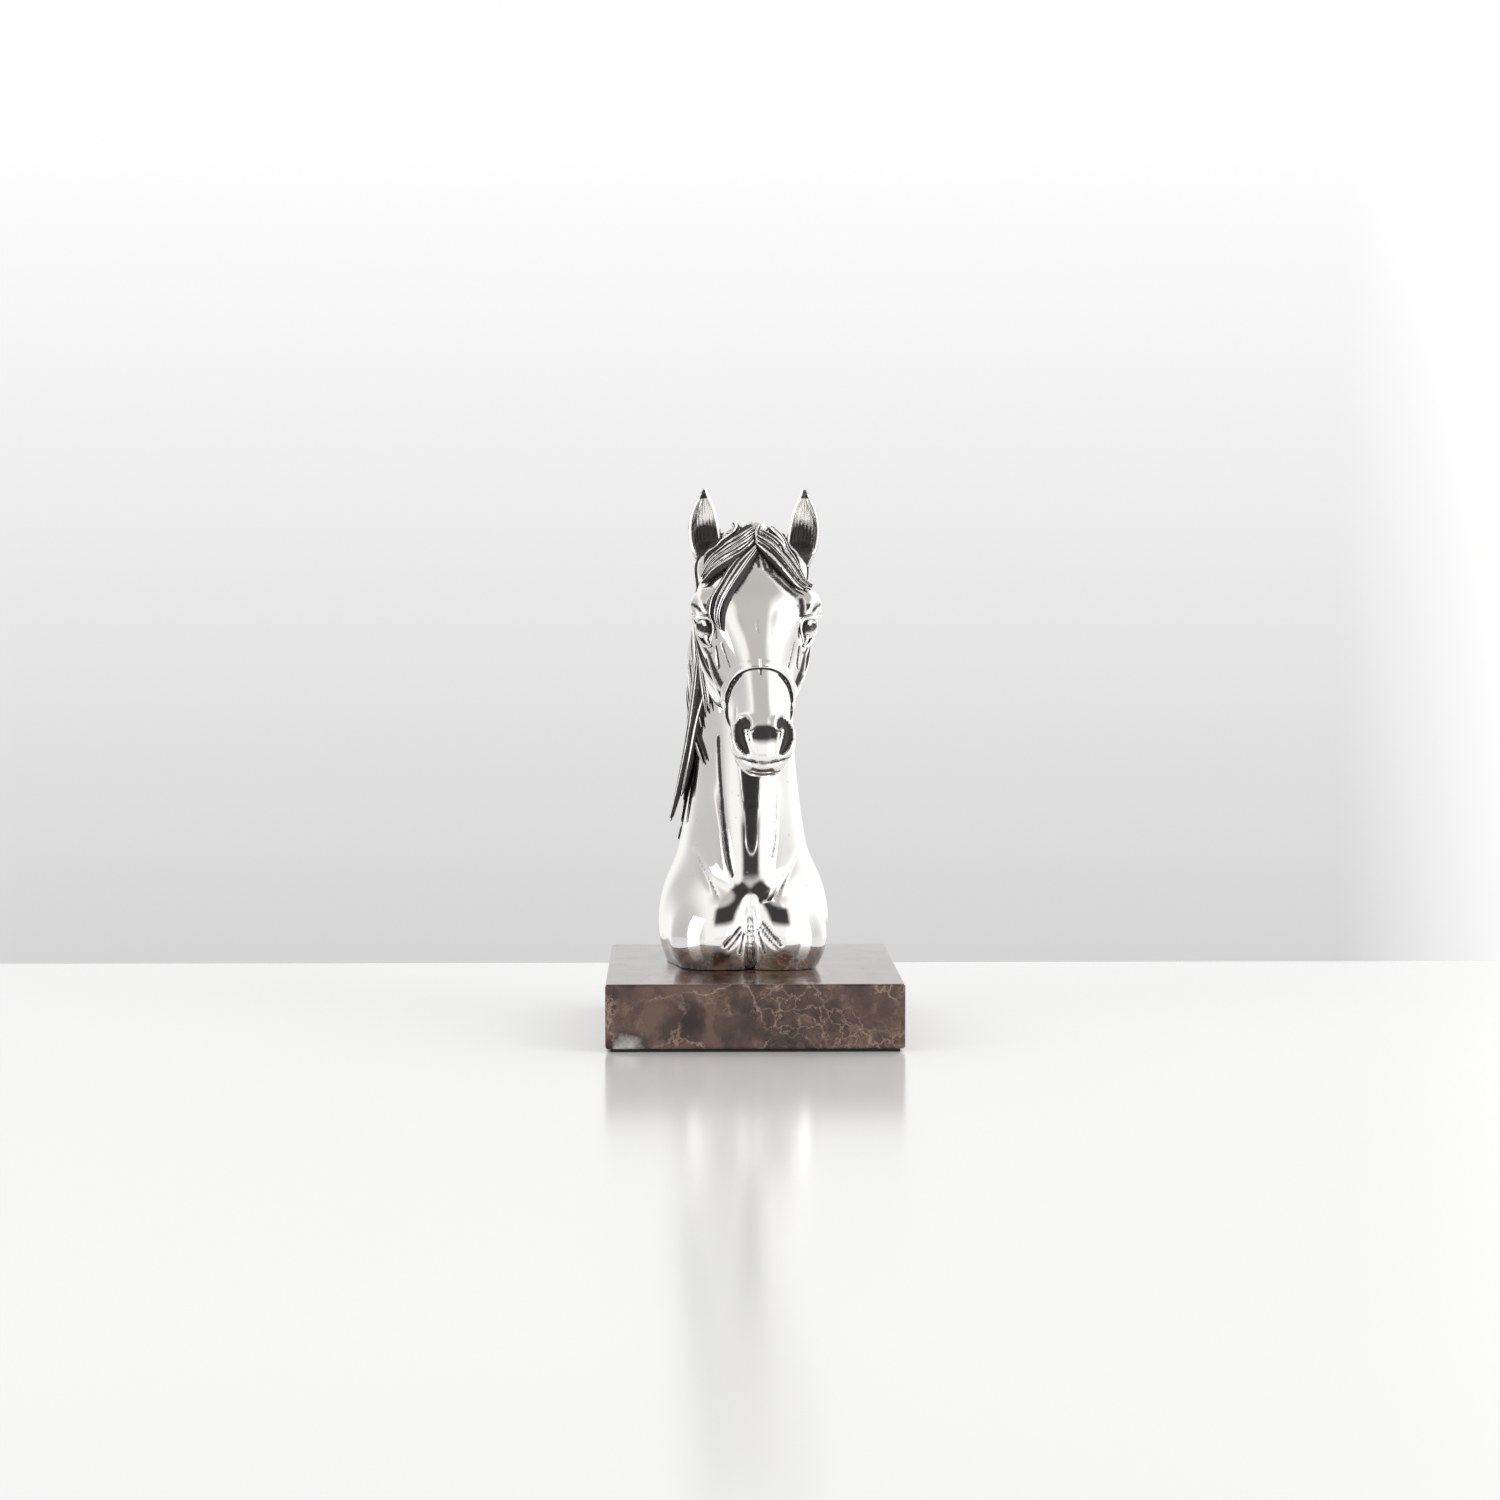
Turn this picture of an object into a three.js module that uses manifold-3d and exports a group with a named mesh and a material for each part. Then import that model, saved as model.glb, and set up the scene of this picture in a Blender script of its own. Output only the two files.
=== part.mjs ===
// A silvered horse head and neck, cast in one piece, on a block of polished brown marble
// with a felt underside. Millimetres, +Z up. The horse looks along -Y, and the origin is the
// middle of the felt's underside.

import * as THREE from "three";
import { mergeVertices } from "three/addons/utils/BufferGeometryUtils.js";
import Module from "manifold-3d";

const wasm = await Module();
wasm.setup();

// Plinth and felt
const plinthWidth = 120;
const plinthDepth = 160;
const plinthThickness = 26;
const plinthChamfer = 1;
const feltThickness = 1;
const feltInset = 2;
const seatGap = 0.3;

// Casting
const bustHeight = 200;
const headLength = 120;
const bustOffsetX = -4.1;
const chestTurn = THREE.MathUtils.degToRad(3.5);
const headPitch = THREE.MathUtils.degToRad(45);
const headYaw = THREE.MathUtils.degToRad(2.7);
const strapWidth = 3;
const nosebandWidth = 4.6;
const strapRise = 0.9;
const strapSink = 1.4;
const earWall = 1.4;
const headFillet = 6;
const meshTolerance = 0.14;

// Where the pieces meet
const feltTop = feltThickness;
const plinthBottom = feltTop + seatGap;
const plinthTop = plinthBottom + plinthThickness;
const bustBottom = plinthTop + seatGap;

const clamp = THREE.MathUtils.clamp;
const lerp = THREE.MathUtils.lerp;

// A natural cubic spline through hand-set stations, held level beyond its ends.
function spline(places, values) {
  const n = places.length;
  const curve = new Array(n).fill(0);
  const upper = new Array(n).fill(0);
  const rest = new Array(n).fill(0);
  for (let i = 1; i < n - 1; i++) {
    const before = places[i] - places[i - 1];
    const after = places[i + 1] - places[i];
    const bend = (values[i + 1] - values[i]) / after - (values[i] - values[i - 1]) / before;
    const pivot = 2 * (before + after) - before * upper[i - 1];
    upper[i] = after / pivot;
    rest[i] = (6 * bend - before * rest[i - 1]) / pivot;
  }
  for (let i = n - 2; i > 0; i--) curve[i] = rest[i] - upper[i] * curve[i + 1];
  return (place) => {
    const p = clamp(place, places[0], places[n - 1]);
    let i = 0;
    while (i < n - 2 && p > places[i + 1]) i++;
    const span = places[i + 1] - places[i];
    const a = (places[i + 1] - p) / span;
    const b = 1 - a;
    const sag = ((a * a * a - a) * curve[i] + (b * b * b - b) * curve[i + 1]) * span * span / 6;
    return a * values[i] + b * values[i + 1] + sag;
  };
}

// The nearer of two forms, with a fillet of the given reach where they meet.
function blend(first, second, reach) {
  const h = Math.max(reach - Math.abs(first - second), 0) / reach;
  return Math.min(first, second) - h * h * reach / 4;
}

// Signed distance, about, from an ellipsoid.
function ellipsoid(x, y, z, centre, radii) {
  const px = (x - centre[0]) / radii[0];
  const py = (y - centre[1]) / radii[1];
  const pz = (z - centre[2]) / radii[2];
  const k0 = Math.hypot(px, py, pz);
  const k1 = Math.hypot(px / radii[0], py / radii[1], pz / radii[2]);
  return k1 < 1e-9 ? -Math.min(...radii) : k0 * (k0 - 1) / k1;
}

// Neck and chest: level sections, as shares of the bust's height, counted from its flat underside
const neckShares = [0, 0.045, 0.09, 0.15, 0.22, 0.30, 0.38, 0.47, 0.56, 0.66, 0.77, 0.86, 0.93];
const neckFront = spline(neckShares,
  [-0.112, -0.124, -0.128, -0.126, -0.105, -0.062, -0.004, 0.06, 0.112, 0.12, 0.095, 0.07, 0.06]);
const neckBack = spline(neckShares,
  [0.305, 0.322, 0.335, 0.348, 0.358, 0.365, 0.365, 0.357, 0.338, 0.30, 0.245, 0.185, 0.14]);
const neckHalf = spline(neckShares,
  [0.148, 0.161, 0.165, 0.158, 0.139, 0.122, 0.110, 0.101, 0.098, 0.095, 0.085, 0.066, 0.05]);
const neckTaper = spline(neckShares,
  [-0.02, -0.04, -0.06, -0.08, -0.12, -0.18, -0.22, -0.24, -0.24, -0.24, -0.22, -0.2, -0.2]);
const neckDrift = spline([0, 0.3, 0.55, 0.9], [0, 0.002, 0.01, 0.023]);
const neckCapFrom = 0.80;
const neckCapTo = 0.90;

const neckX = (share) => bustOffsetX + neckDrift(share) * bustHeight;
const neckY = (share) => (neckFront(share) + neckBack(share)) / 2 * bustHeight;

// Distance to the horse's left of the neck's middle plane, which is turned a little about the upright.
const acrossNeck = (x, y, share) => x - neckX(share) + Math.tan(chestTurn) * (y - neckY(share));

// The mane's bulk on the right side: its front edge runs back towards the crest as it falls
const maneBulk = 4.2;
const maneEdge = spline([0.2, 0.4, 0.55, 0.7, 0.9], [0.8, 0.3, 0.0, -0.25, -0.35]);
const maneHem = { from: 0.16, to: 0.46 };

function maneThickness(share, across, m) {
  const front = THREE.MathUtils.smoothstep(m, maneEdge(share), maneEdge(share) + 0.4);
  const side = THREE.MathUtils.smoothstep(-across, -1, 7);
  const hem = THREE.MathUtils.smoothstep(share, maneHem.from, maneHem.to);
  return maneBulk * front * side * hem;
}

function neckForm(x, y, z) {
  const share = (z - bustBottom) / bustHeight;
  const halfDepth = (neckBack(share) - neckFront(share)) / 2 * bustHeight;
  const m = (y - neckY(share)) / halfDepth;
  const halfWidth = neckHalf(share) * bustHeight * (1 + neckTaper(share) * clamp(m, -1.2, 1.2));
  const across = acrossNeck(x, y, share);
  const cap = Math.max(0, (share - neckCapFrom) / (neckCapTo - neckCapFrom));
  const reach = Math.sqrt((across / halfWidth) ** 2 + m * m + cap * cap);
  return (reach - 1) * Math.min(halfWidth, halfDepth) - maneThickness(share, across, m);
}

// Muscles of each side of the chest: centre and radii as shares of the bust's height, x from the middle
const chestMuscles = [
  { name: "breast", centre: [0.062, -0.09, 0.06], radii: [0.096, 0.078, 0.115], reach: 4 },
  { name: "shoulder", centre: [0.101, 0.03, 0.085], radii: [0.064, 0.12, 0.115], reach: 12 },
];
const chestCrease = { halfWidth: 1.7, depth: 2.2, to: 0.16, fade: 0.05 };

function chestForm(x, y, z) {
  const share = (z - bustBottom) / bustHeight;
  const across = Math.abs(acrossNeck(x, y, share)) / bustHeight;
  const back = y / bustHeight;
  let form = neckForm(x, y, z);
  for (const muscle of chestMuscles) {
    const own = ellipsoid(across, back, share, muscle.centre, muscle.radii) * bustHeight;
    form = blend(form, own, muscle.reach);
  }
  if (y > neckY(share) || share > chestCrease.to) return form;
  const fade = clamp((chestCrease.to - share) / chestCrease.fade, 0, 1);
  const nearness = Math.exp(-((across * bustHeight / chestCrease.halfWidth) ** 2));
  return form + chestCrease.depth * fade * nearness;
}

// The head has its own axes: side, along from poll to lips, and dorsal, out of the face
const pollShare = 0.892;
const pollBack = 0.09;
const poll = new THREE.Vector3(
  neckX(pollShare), pollBack * bustHeight, bustBottom + pollShare * bustHeight);
const forward = new THREE.Vector3(Math.sin(headYaw), -Math.cos(headYaw), 0);
const sideways = new THREE.Vector3(Math.cos(headYaw), Math.sin(headYaw), 0);
const upright = new THREE.Vector3(0, 0, 1);
const along = forward.clone().multiplyScalar(Math.sin(headPitch))
  .addScaledVector(upright, -Math.cos(headPitch));
const dorsal = forward.clone().multiplyScalar(Math.cos(headPitch))
  .addScaledVector(upright, Math.sin(headPitch));

function fromHead(side, length, rise) {
  return poll.clone()
    .addScaledVector(sideways, side * headLength)
    .addScaledVector(along, length * headLength)
    .addScaledVector(dorsal, rise * headLength);
}

function toHead(x, y, z) {
  const p = new THREE.Vector3(x, y, z).sub(poll).divideScalar(headLength);
  return [p.dot(sideways), p.dot(along), p.dot(dorsal)];
}

// Head sections, as shares of its length
const headShares = [-0.1, 0, 0.10, 0.22, 0.32, 0.42, 0.52, 0.62, 0.72, 0.82, 0.91, 1.0];
const faceLine = spline(headShares,
  [-0.07, -0.02, 0.018, 0.04, 0.042, 0.026, 0.008, -0.004, -0.010, -0.010, -0.018, -0.035]);
const jawLine = spline(headShares,
  [-0.28, -0.33, -0.375, -0.405, -0.415, -0.395, -0.345, -0.29, -0.25, -0.235, -0.232, -0.205]);
const headHalf = spline(headShares,
  [0.12, 0.148, 0.175, 0.195, 0.196, 0.176, 0.148, 0.122, 0.104, 0.100, 0.106, 0.10]);
const headTaper = spline(headShares,
  [0.1, 0.14, 0.2, 0.27, 0.30, 0.22, 0.06, -0.06, -0.1, -0.06, 0.04, 0.08]);
const headSquare = spline(headShares,
  [2, 2, 2.2, 2.4, 2.5, 2.5, 2.45, 2.4, 2.35, 2.3, 2.3, 2.3]);
const muzzleCapFrom = 0.84;
const skullCapFrom = 0.04;
const skullCapTo = -0.055;

const headMiddle = (length) => (faceLine(length) + jawLine(length)) / 2;

function headSections(side, length, rise) {
  const halfDepth = (faceLine(length) - jawLine(length)) / 2;
  const m = (rise - headMiddle(length)) / halfDepth;
  const halfWidth = headHalf(length) * (1 + headTaper(length) * clamp(m, -1.2, 1.2));
  const square = headSquare(length);
  const muzzleCap = Math.max(0, (length - muzzleCapFrom) / (1 - muzzleCapFrom));
  const skullCap = Math.max(0, (skullCapFrom - length) / (skullCapFrom - skullCapTo));
  const ring = Math.abs(side / halfWidth) ** square + Math.abs(m) ** square;
  const reach = (ring + Math.abs(muzzleCap) ** square + Math.abs(skullCap) ** square) ** (1 / square);
  return (reach - 1) * Math.min(halfWidth, halfDepth);
}

// Rounded forms of each side of the head, in shares of its length, with the fillet's reach in mm
const faceForms = [
  { name: "brow", centre: [0.18, 0.32, -0.02], radii: [0.048, 0.078, 0.046], reach: 3.5 },
  { name: "cheek", centre: [0.098, 0.38, -0.235], radii: [0.08, 0.17, 0.165], reach: 3 },
  { name: "cheek bone", centre: [0.135, 0.50, -0.115], radii: [0.03, 0.13, 0.022], reach: 4 },
  { name: "nostril wing", centre: [0.068, 0.885, -0.085], radii: [0.042, 0.07, 0.062], reach: 3 },
  { name: "chin", centre: [0, 0.885, -0.205], radii: [0.052, 0.055, 0.036], reach: 2 },
  { name: "poll tuft", centre: [0, 0.015, -0.02], radii: [0.11, 0.09, 0.055], reach: 5 },
  { name: "ear root", centre: [0.142, 0.075, -0.085], radii: [0.052, 0.07, 0.062], reach: 4 },
];
const faceHollows = [
  { name: "above the eye", centre: [0.235, 0.215, 0.0], radii: [0.05, 0.055, 0.04] },
  { name: "inner corner", centre: [0.185, 0.445, -0.03], radii: [0.03, 0.06, 0.035] },
];
const hollowFillet = 3;

function headForm(x, y, z) {
  const [side, length, rise] = toHead(x, y, z);
  const out = Math.abs(side);
  let form = headSections(side, length, rise) * headLength;
  for (const part of faceForms) {
    const own = ellipsoid(out, length, rise, part.centre, part.radii) * headLength;
    form = blend(form, own, part.reach);
  }
  for (const hollow of faceHollows) {
    const own = ellipsoid(out, length, rise, hollow.centre, hollow.radii) * headLength;
    form = -blend(-form, own, hollowFillet);
  }
  return form;
}

const wholeForm = (x, y, z) => blend(chestForm(x, y, z), headForm(x, y, z), headFillet);

// How far a ray runs from inside a form to its surface.
function reachOf(form, start, direction, furthest) {
  let inside = 0;
  let outside = furthest;
  for (let i = 0; i < 26; i++) {
    const middle = (inside + outside) / 2;
    const p = start.clone().addScaledVector(direction, middle);
    if (form(p.x, p.y, p.z) < 0) inside = middle;
    else outside = middle;
  }
  return inside;
}

// Outward direction of the whole form at a point.
function outward(p) {
  const step = 0.5;
  return new THREE.Vector3(
    wholeForm(p.x + step, p.y, p.z) - wholeForm(p.x - step, p.y, p.z),
    wholeForm(p.x, p.y + step, p.z) - wholeForm(p.x, p.y - step, p.z),
    wholeForm(p.x, p.y, p.z + step) - wholeForm(p.x, p.y, p.z - step),
  ).normalize();
}

// The point of the skin nearest to a rough one, raised by the lift. Each step goes most of the way.
function onSkin(rough, lift = 0) {
  const p = rough.clone();
  const steps = 12;
  const stride = 0.8;
  for (let i = 0; i < steps; i++) {
    p.addScaledVector(outward(p), -stride * wholeForm(p.x, p.y, p.z));
  }
  return p.addScaledVector(outward(p), lift);
}

// A closed skin: a sphere's rings, taken along and around a form by place(share along, share around).
function wrapped(rings, around, place) {
  const geometry = new THREE.SphereGeometry(1, around, rings);
  const position = geometry.getAttribute("position");
  for (let i = 0; i <= rings; i++) {
    for (let j = 0; j <= around; j++) {
      const p = place(i / rings, (j % around) / around);
      position.setXYZ(i * (around + 1) + j, p.x, p.y, p.z);
    }
  }
  return solidOf(geometry);
}

// A three.js geometry as a solid that can be joined and cut.
function solidOf(geometry) {
  const bare = geometry.clone();
  for (const name of ["normal", "uv"]) bare.deleteAttribute(name);
  const merged = mergeVertices(bare, 1e-4);
  const mesh = new wasm.Mesh({
    numProp: 3,
    vertProperties: new Float32Array(merged.attributes.position.array),
    triVerts: new Uint32Array(merged.index.array),
  });
  return new wasm.Manifold(mesh);
}

function geometryOf(solid) {
  const mesh = solid.getMesh();
  return new THREE.BufferGeometry()
    .setAttribute("position", new THREE.BufferAttribute(new Float32Array(mesh.vertProperties), 3))
    .setIndex(new THREE.BufferAttribute(new Uint32Array(mesh.triVerts), 1));
}

// Ring places that crowd towards the ends, so that a rounded end keeps its shape.
const crowded = (t) => (1 - Math.cos(Math.PI * t)) / 2;
const frontCrowding = 0.35;
const endMargin = 0.0005;

function neckSkin() {
  const rings = 25;
  const around = 34;
  const topShare = neckCapTo - endMargin;
  return wrapped(rings, around, (t, turn) => {
    const climb = Math.max(0, (t - 1 / rings) / (1 - 1 / rings));
    const share = topShare * (0.75 * climb + 0.25 * crowded(climb));
    const centre = new THREE.Vector3(neckX(share), neckY(share), bustBottom + share * bustHeight);
    if (t === 0 || t === 1) return centre;
    const even = 2 * Math.PI * turn;
    const angle = chestTurn - Math.PI / 2 - (even - frontCrowding * Math.sin(even));
    const direction = new THREE.Vector3(Math.cos(angle), Math.sin(angle), 0);
    const reach = reachOf(chestForm, centre, direction, 0.4 * bustHeight);
    return centre.addScaledVector(direction, reach);
  });
}

// Direction from the head's middle line out to its skin, turned from the face towards its left.
function aroundHead(turn) {
  const angle = 2 * Math.PI * turn;
  return sideways.clone().multiplyScalar(Math.sin(angle)).addScaledVector(dorsal, Math.cos(angle));
}

function headSkin() {
  const rings = 33;
  const around = 30;
  const first = skullCapTo + endMargin;
  const last = 1 - endMargin;
  return wrapped(rings, around, (t, turn) => {
    const length = lerp(first, last, 0.8 * t + 0.2 * crowded(t));
    const centre = fromHead(0, length, headMiddle(clamp(length, skullCapFrom, 0.95)));
    if (t === 0 || t === 1) return centre;
    const direction = aroundHead(turn);
    const reach = reachOf(headForm, centre, direction, 0.5 * headLength);
    return centre.addScaledVector(direction, reach);
  });
}

// Ears: half width as shares of the ear's length, from root to tip, and the root's place in mm
// beside, behind and below the poll
const earLength = 0.175 * bustHeight;
const earShares = [0, 0.15, 0.35, 0.55, 0.75, 0.9, 1];
const earHalf = spline(earShares, [0.13, 0.175, 0.20, 0.188, 0.135, 0.062, 0.012]);
const earRoot = { side: 18, back: 2, down: 14, over: 1 };
const earLean = 0.09;
const earTurn = THREE.MathUtils.degToRad(12);
const earTipForward = 0.1;
const earCupFrom = 0.2;
const earCupBy = 0.32;
const earBow = 0.05;

function earAxes(side) {
  const root = new THREE.Vector3(side * earRoot.side + earRoot.over, earRoot.back, -earRoot.down)
    .add(poll);
  const up = new THREE.Vector3(side * earLean, -earTipForward, 1).normalize();
  const facing = new THREE.Vector3(side * Math.sin(earTurn), -Math.cos(earTurn), 0);
  const across = new THREE.Vector3().crossVectors(facing, up).normalize();
  const front = new THREE.Vector3().crossVectors(up, across).normalize();
  return { root, up, across, front };
}

function ear(side) {
  const { root, up, across, front } = earAxes(side);
  return wrapped(11, 16, (t, turn) => {
    const half = earHalf(t) * earLength;
    const bow = earBow * earLength * Math.sin(Math.PI * t);
    const centre = root.clone().addScaledVector(up, t * earLength)
      .addScaledVector(across, -side * bow);
    if (t === 0 || t === 1) return centre;
    const cup = clamp((t - earCupFrom) / (earCupBy - earCupFrom), 0, 1);
    const backward = turn < 0.5;
    const angle = 2 * Math.PI * (backward ? turn : 1 - turn);
    const wall = backward ? 0 : Math.min(earWall, 0.45 * half);
    const depth = backward ? half * 0.95 : lerp(-half * 0.25, half * 0.95 - wall, cup);
    return centre.addScaledVector(across, (half - wall) * Math.cos(angle))
      .addScaledVector(front, -depth * Math.sin(angle));
  });
}

// A length of hair or strap: a section carried along a curve, its own up turned to the skin's outside.
function carried(points, steps, section, taper) {
  const curve = new THREE.CatmullRomCurve3(points, false, "centripetal");
  const around = section.length;
  return wrapped(steps, around, (t, turn) => {
    const share = (t - 1 / steps / 2) / (1 - 1 / steps);
    const p = curve.getPoint(clamp(share, 0, 1));
    const tangent = curve.getTangent(clamp(share, 0, 1));
    if (t === 0 || t === 1) return p.addScaledVector(tangent, t === 0 ? -0.3 : 0.3);
    const side = new THREE.Vector3().crossVectors(tangent, outward(p)).normalize();
    const up = new THREE.Vector3().crossVectors(side, tangent).normalize();
    const [width, height] = section[Math.round(turn * around) % around];
    const size = taper(share);
    return p.addScaledVector(side, width * size).addScaledVector(up, height * size);
  });
}

const lockSection = (halfWidth, rise) => [
  [halfWidth, -0.4 * rise],
  [0.5 * halfWidth, 0.9 * rise],
  [-0.5 * halfWidth, 0.9 * rise],
  [-halfWidth, -0.4 * rise],
  [0, -rise],
];
const lockTaper = spline([0, 0.25, 0.55, 0.8, 1], [0.6, 0.9, 0.96, 0.66, 0.12]);

function lock(points, halfWidth, rise, lift, steps = 9) {
  const placed = points.map((p, i) => onSkin(p, lift * (i + 1) / points.length));
  return carried(placed, steps, lockSection(halfWidth, rise), lockTaper);
}

// Forelock: paths over the brow as shares of the head, [side, along], with sizes in mm
const forelockPaths = [
  {
    path: [[-0.01, 0.01], [-0.087, 0.08], [-0.14, 0.105], [-0.19, 0.14], [-0.228, 0.18]],
    half: 3.2, rise: 2.2, lift: 3,
  },
  {
    path: [[-0.01, 0.04], [-0.085, 0.14], [-0.135, 0.18], [-0.18, 0.195], [-0.22, 0.22]],
    half: 3, rise: 2, lift: 2.4,
  },
  {
    path: [[-0.01, 0.06], [-0.055, 0.16], [-0.10, 0.25], [-0.14, 0.335], [-0.155, 0.40], [-0.147, 0.46]],
    half: 2.8, rise: 2, lift: 0.8,
  },
  {
    path: [[0.008, 0.085], [-0.035, 0.175], [-0.08, 0.27], [-0.12, 0.345], [-0.138, 0.41], [-0.14, 0.47]],
    half: 2.6, rise: 2, lift: 0.8,
  },
  {
    path: [[0.045, 0.0], [0.085, 0.05], [0.127, 0.12], [0.17, 0.19], [0.205, 0.275]],
    half: 3, rise: 2.2, lift: 1.6,
  },
  {
    path: [[0.035, 0.035], [0.07, 0.08], [0.11, 0.154], [0.152, 0.22], [0.195, 0.29]],
    half: 3, rise: 2.1, lift: 1,
  },
  {
    path: [[0.02, 0.06], [0.055, 0.11], [0.093, 0.185], [0.135, 0.245], [0.185, 0.30]],
    half: 2.6, rise: 1.9, lift: 0.7,
  },
];

function forelock() {
  return forelockPaths.map(({ path, half, rise, lift }) =>
    lock(path.map(([side, length]) => fromHead(side, length, faceLine(length))), half, rise, lift));
}

// Mane: locks rooted along the crest that fall over the horse's right side
const maneLocks = 11;
const maneTop = 0.87;
const maneLow = 0.42;
const maneDropTop = 0.42;
const maneDropLow = 0.17;
const maneHalf = 5;
const maneRise = 2.6;

function besideNeck(height, back) {
  const centre = new THREE.Vector3(neckX(height), back * bustHeight, bustBottom + height * bustHeight);
  const direction = new THREE.Vector3(-1, 0, 0);
  if (wholeForm(centre.x, centre.y, centre.z) > 0) return centre;
  return centre.addScaledVector(direction, reachOf(wholeForm, centre, direction, 0.3 * bustHeight));
}

function manePath(root) {
  const top = lerp(maneTop, maneLow, root);
  const drop = lerp(maneDropTop, maneDropLow, root);
  return [0, 0.25, 0.5, 0.75, 1].map((share) => {
    const height = top - drop * share ** 1.15;
    const forward = lerp(0.62, 0.3, root) * Math.sin(share * Math.PI / 2);
    return besideNeck(height, lerp(neckBack(height) - 0.004, neckFront(height), forward));
  });
}

// Locks that hang forward beside the neck, [height, back], standing off by the lift at their tips
const frontHalf = 3.4;
const frontRise = 2.8;
const frontLocks = [
  { path: [[0.66, 0.21], [0.57, 0.19], [0.53, 0.16], [0.485, 0.108]], lift: 1.2 },
  { path: [[0.56, 0.24], [0.51, 0.21], [0.468, 0.156], [0.433, 0.097], [0.404, 0.059]], lift: 1 },
  { path: [[0.66, 0.2], [0.5, 0.2], [0.38, 0.17], [0.255, 0.13]], lift: 6 },
  { path: [[0.56, 0.16], [0.46, 0.16], [0.38, 0.13], [0.31, 0.10]], lift: 4 },
];

function mane() {
  const falling = Array.from({ length: maneLocks }, (_, i) =>
    lock(manePath(i / (maneLocks - 1)), maneHalf, maneRise, 0.6, 8));
  const front = frontLocks.map(({ path, lift }) =>
    lock(path.map(([height, back]) => besideNeck(height, back)), frontHalf, frontRise, lift, 9));
  return [...falling, ...front];
}

// Cords of muscle down the front of the neck, [from the middle, height], as shares of its height
const neckCords = [
  {
    path: [[0.072, 0.41], [0.072, 0.343], [0.053, 0.283], [0.039, 0.243], [0.021, 0.18]],
    half: 2.2, rise: 1.3,
  },
  { path: [[0.113, 0.25], [0.089, 0.198], [0.064, 0.15]], half: 2.3, rise: 1.2 },
];
const frontShift = 0.15 * Math.tan(chestTurn);

// The point of the neck's front that lies the given share beside its middle.
function frontOfNeck(beside, height) {
  const centre = new THREE.Vector3(
    neckX(height) + (beside + frontShift) * bustHeight, neckY(height), bustBottom + height * bustHeight);
  const ahead = new THREE.Vector3(0, -1, 0);
  return centre.addScaledVector(ahead, reachOf(chestForm, centre, ahead, 0.3 * bustHeight));
}

function cords(side) {
  return neckCords.map(({ path, half, rise }) =>
    lock(path.map(([beside, height]) => frontOfNeck(side * beside, height)), half, rise, 0, 8));
}

// Halter: a noseband round the nose, and a cheek strap on each side from it to the ear's root
const nosebandAt = 0.612;
const nosebandSlant = 0.08;

function noseband() {
  const steps = 36;
  const ring = [];
  for (let i = 0; i < steps; i++) {
    const length = nosebandAt + nosebandSlant * crowded(2 * i / steps);
    const centre = fromHead(0, length, headMiddle(length));
    const direction = aroundHead(i / steps);
    const reach = reachOf(headForm, centre, direction, 0.5 * headLength);
    ring.push(centre.addScaledVector(direction, reach));
  }
  const curve = new THREE.CatmullRomCurve3(ring, true);
  const geometry = new THREE.TorusGeometry(1, 0.2, 4, steps);
  const position = geometry.getAttribute("position");
  const corners = [[0.5, strapRise], [-0.5, strapRise], [-0.5, -strapSink], [0.5, -strapSink]];
  for (let j = 0; j <= 4; j++) {
    for (let i = 0; i <= steps; i++) {
      const share = (i % steps) / steps;
      const p = curve.getPoint(share);
      const tangent = curve.getTangent(share);
      const side = new THREE.Vector3().crossVectors(tangent, outward(p)).normalize();
      const up = new THREE.Vector3().crossVectors(side, tangent).normalize();
      const [width, height] = corners[j % 4];
      p.addScaledVector(side, width * nosebandWidth).addScaledVector(up, height);
      position.setXYZ(j * (steps + 1) + i, p.x, p.y, p.z);
    }
  }
  return solidOf(geometry);
}

const strapSection = [
  [0.5 * strapWidth, -strapSink],
  [0.5 * strapWidth, strapRise],
  [-0.5 * strapWidth, strapRise],
  [-0.5 * strapWidth, -strapSink],
];

// Cheek strap, [side, along, rise] as shares of the head
const cheekStrapPath = [
  [0.112, 0.665, -0.165],
  [0.156, 0.56, -0.18],
  [0.187, 0.46, -0.20],
  [0.203, 0.37, -0.21],
  [0.205, 0.27, -0.20],
  [0.19, 0.12, -0.13],
  [0.17, 0.04, -0.08],
];

function cheekStrap(side) {
  const points = cheekStrapPath.map(([out, length, rise]) => onSkin(fromHead(side * out, length, rise)));
  return carried(points, 14, strapSection, () => 1);
}

// Eyes: a ball between two lids. The lids' points are [along, rise] from the ball's middle.
const eyeAt = [0.186, 0.385, -0.062];
const eyeRadius = 0.038;
const eyeSink = 0.012;
const lidSection = [[0.9, -1.2], [0.6, 0.7], [-0.6, 0.7], [-0.9, -1.2]];
const lids = [
  {
    path: [[-0.065, -0.012], [-0.03, 0.026], [0.015, 0.036], [0.05, 0.026], [0.085, 0.008]],
    lift: 0.4, size: 1,
  },
  { path: [[-0.06, -0.018], [-0.02, -0.046], [0.035, -0.042], [0.08, 0.0]], lift: 0.2, size: 0.85 },
];

function eyeBall(side) {
  const centre = fromHead(side * (eyeAt[0] - eyeSink), eyeAt[1], eyeAt[2]);
  return wrapped(8, 12, (t, turn) => {
    const direction = new THREE.Vector3().setFromSphericalCoords(1, Math.PI * t, 2 * Math.PI * turn);
    return centre.clone().addScaledVector(direction, eyeRadius * headLength);
  });
}

function eyeLid(side, { path, lift, size }) {
  const points = path.map(([length, rise]) =>
    onSkin(fromHead(side * eyeAt[0], eyeAt[1] + length, eyeAt[2] + rise), lift));
  return carried(points, 8, lidSection, () => size);
}

const eyeParts = (side) => [eyeBall(side), ...lids.map((lid) => eyeLid(side, lid))];

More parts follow.
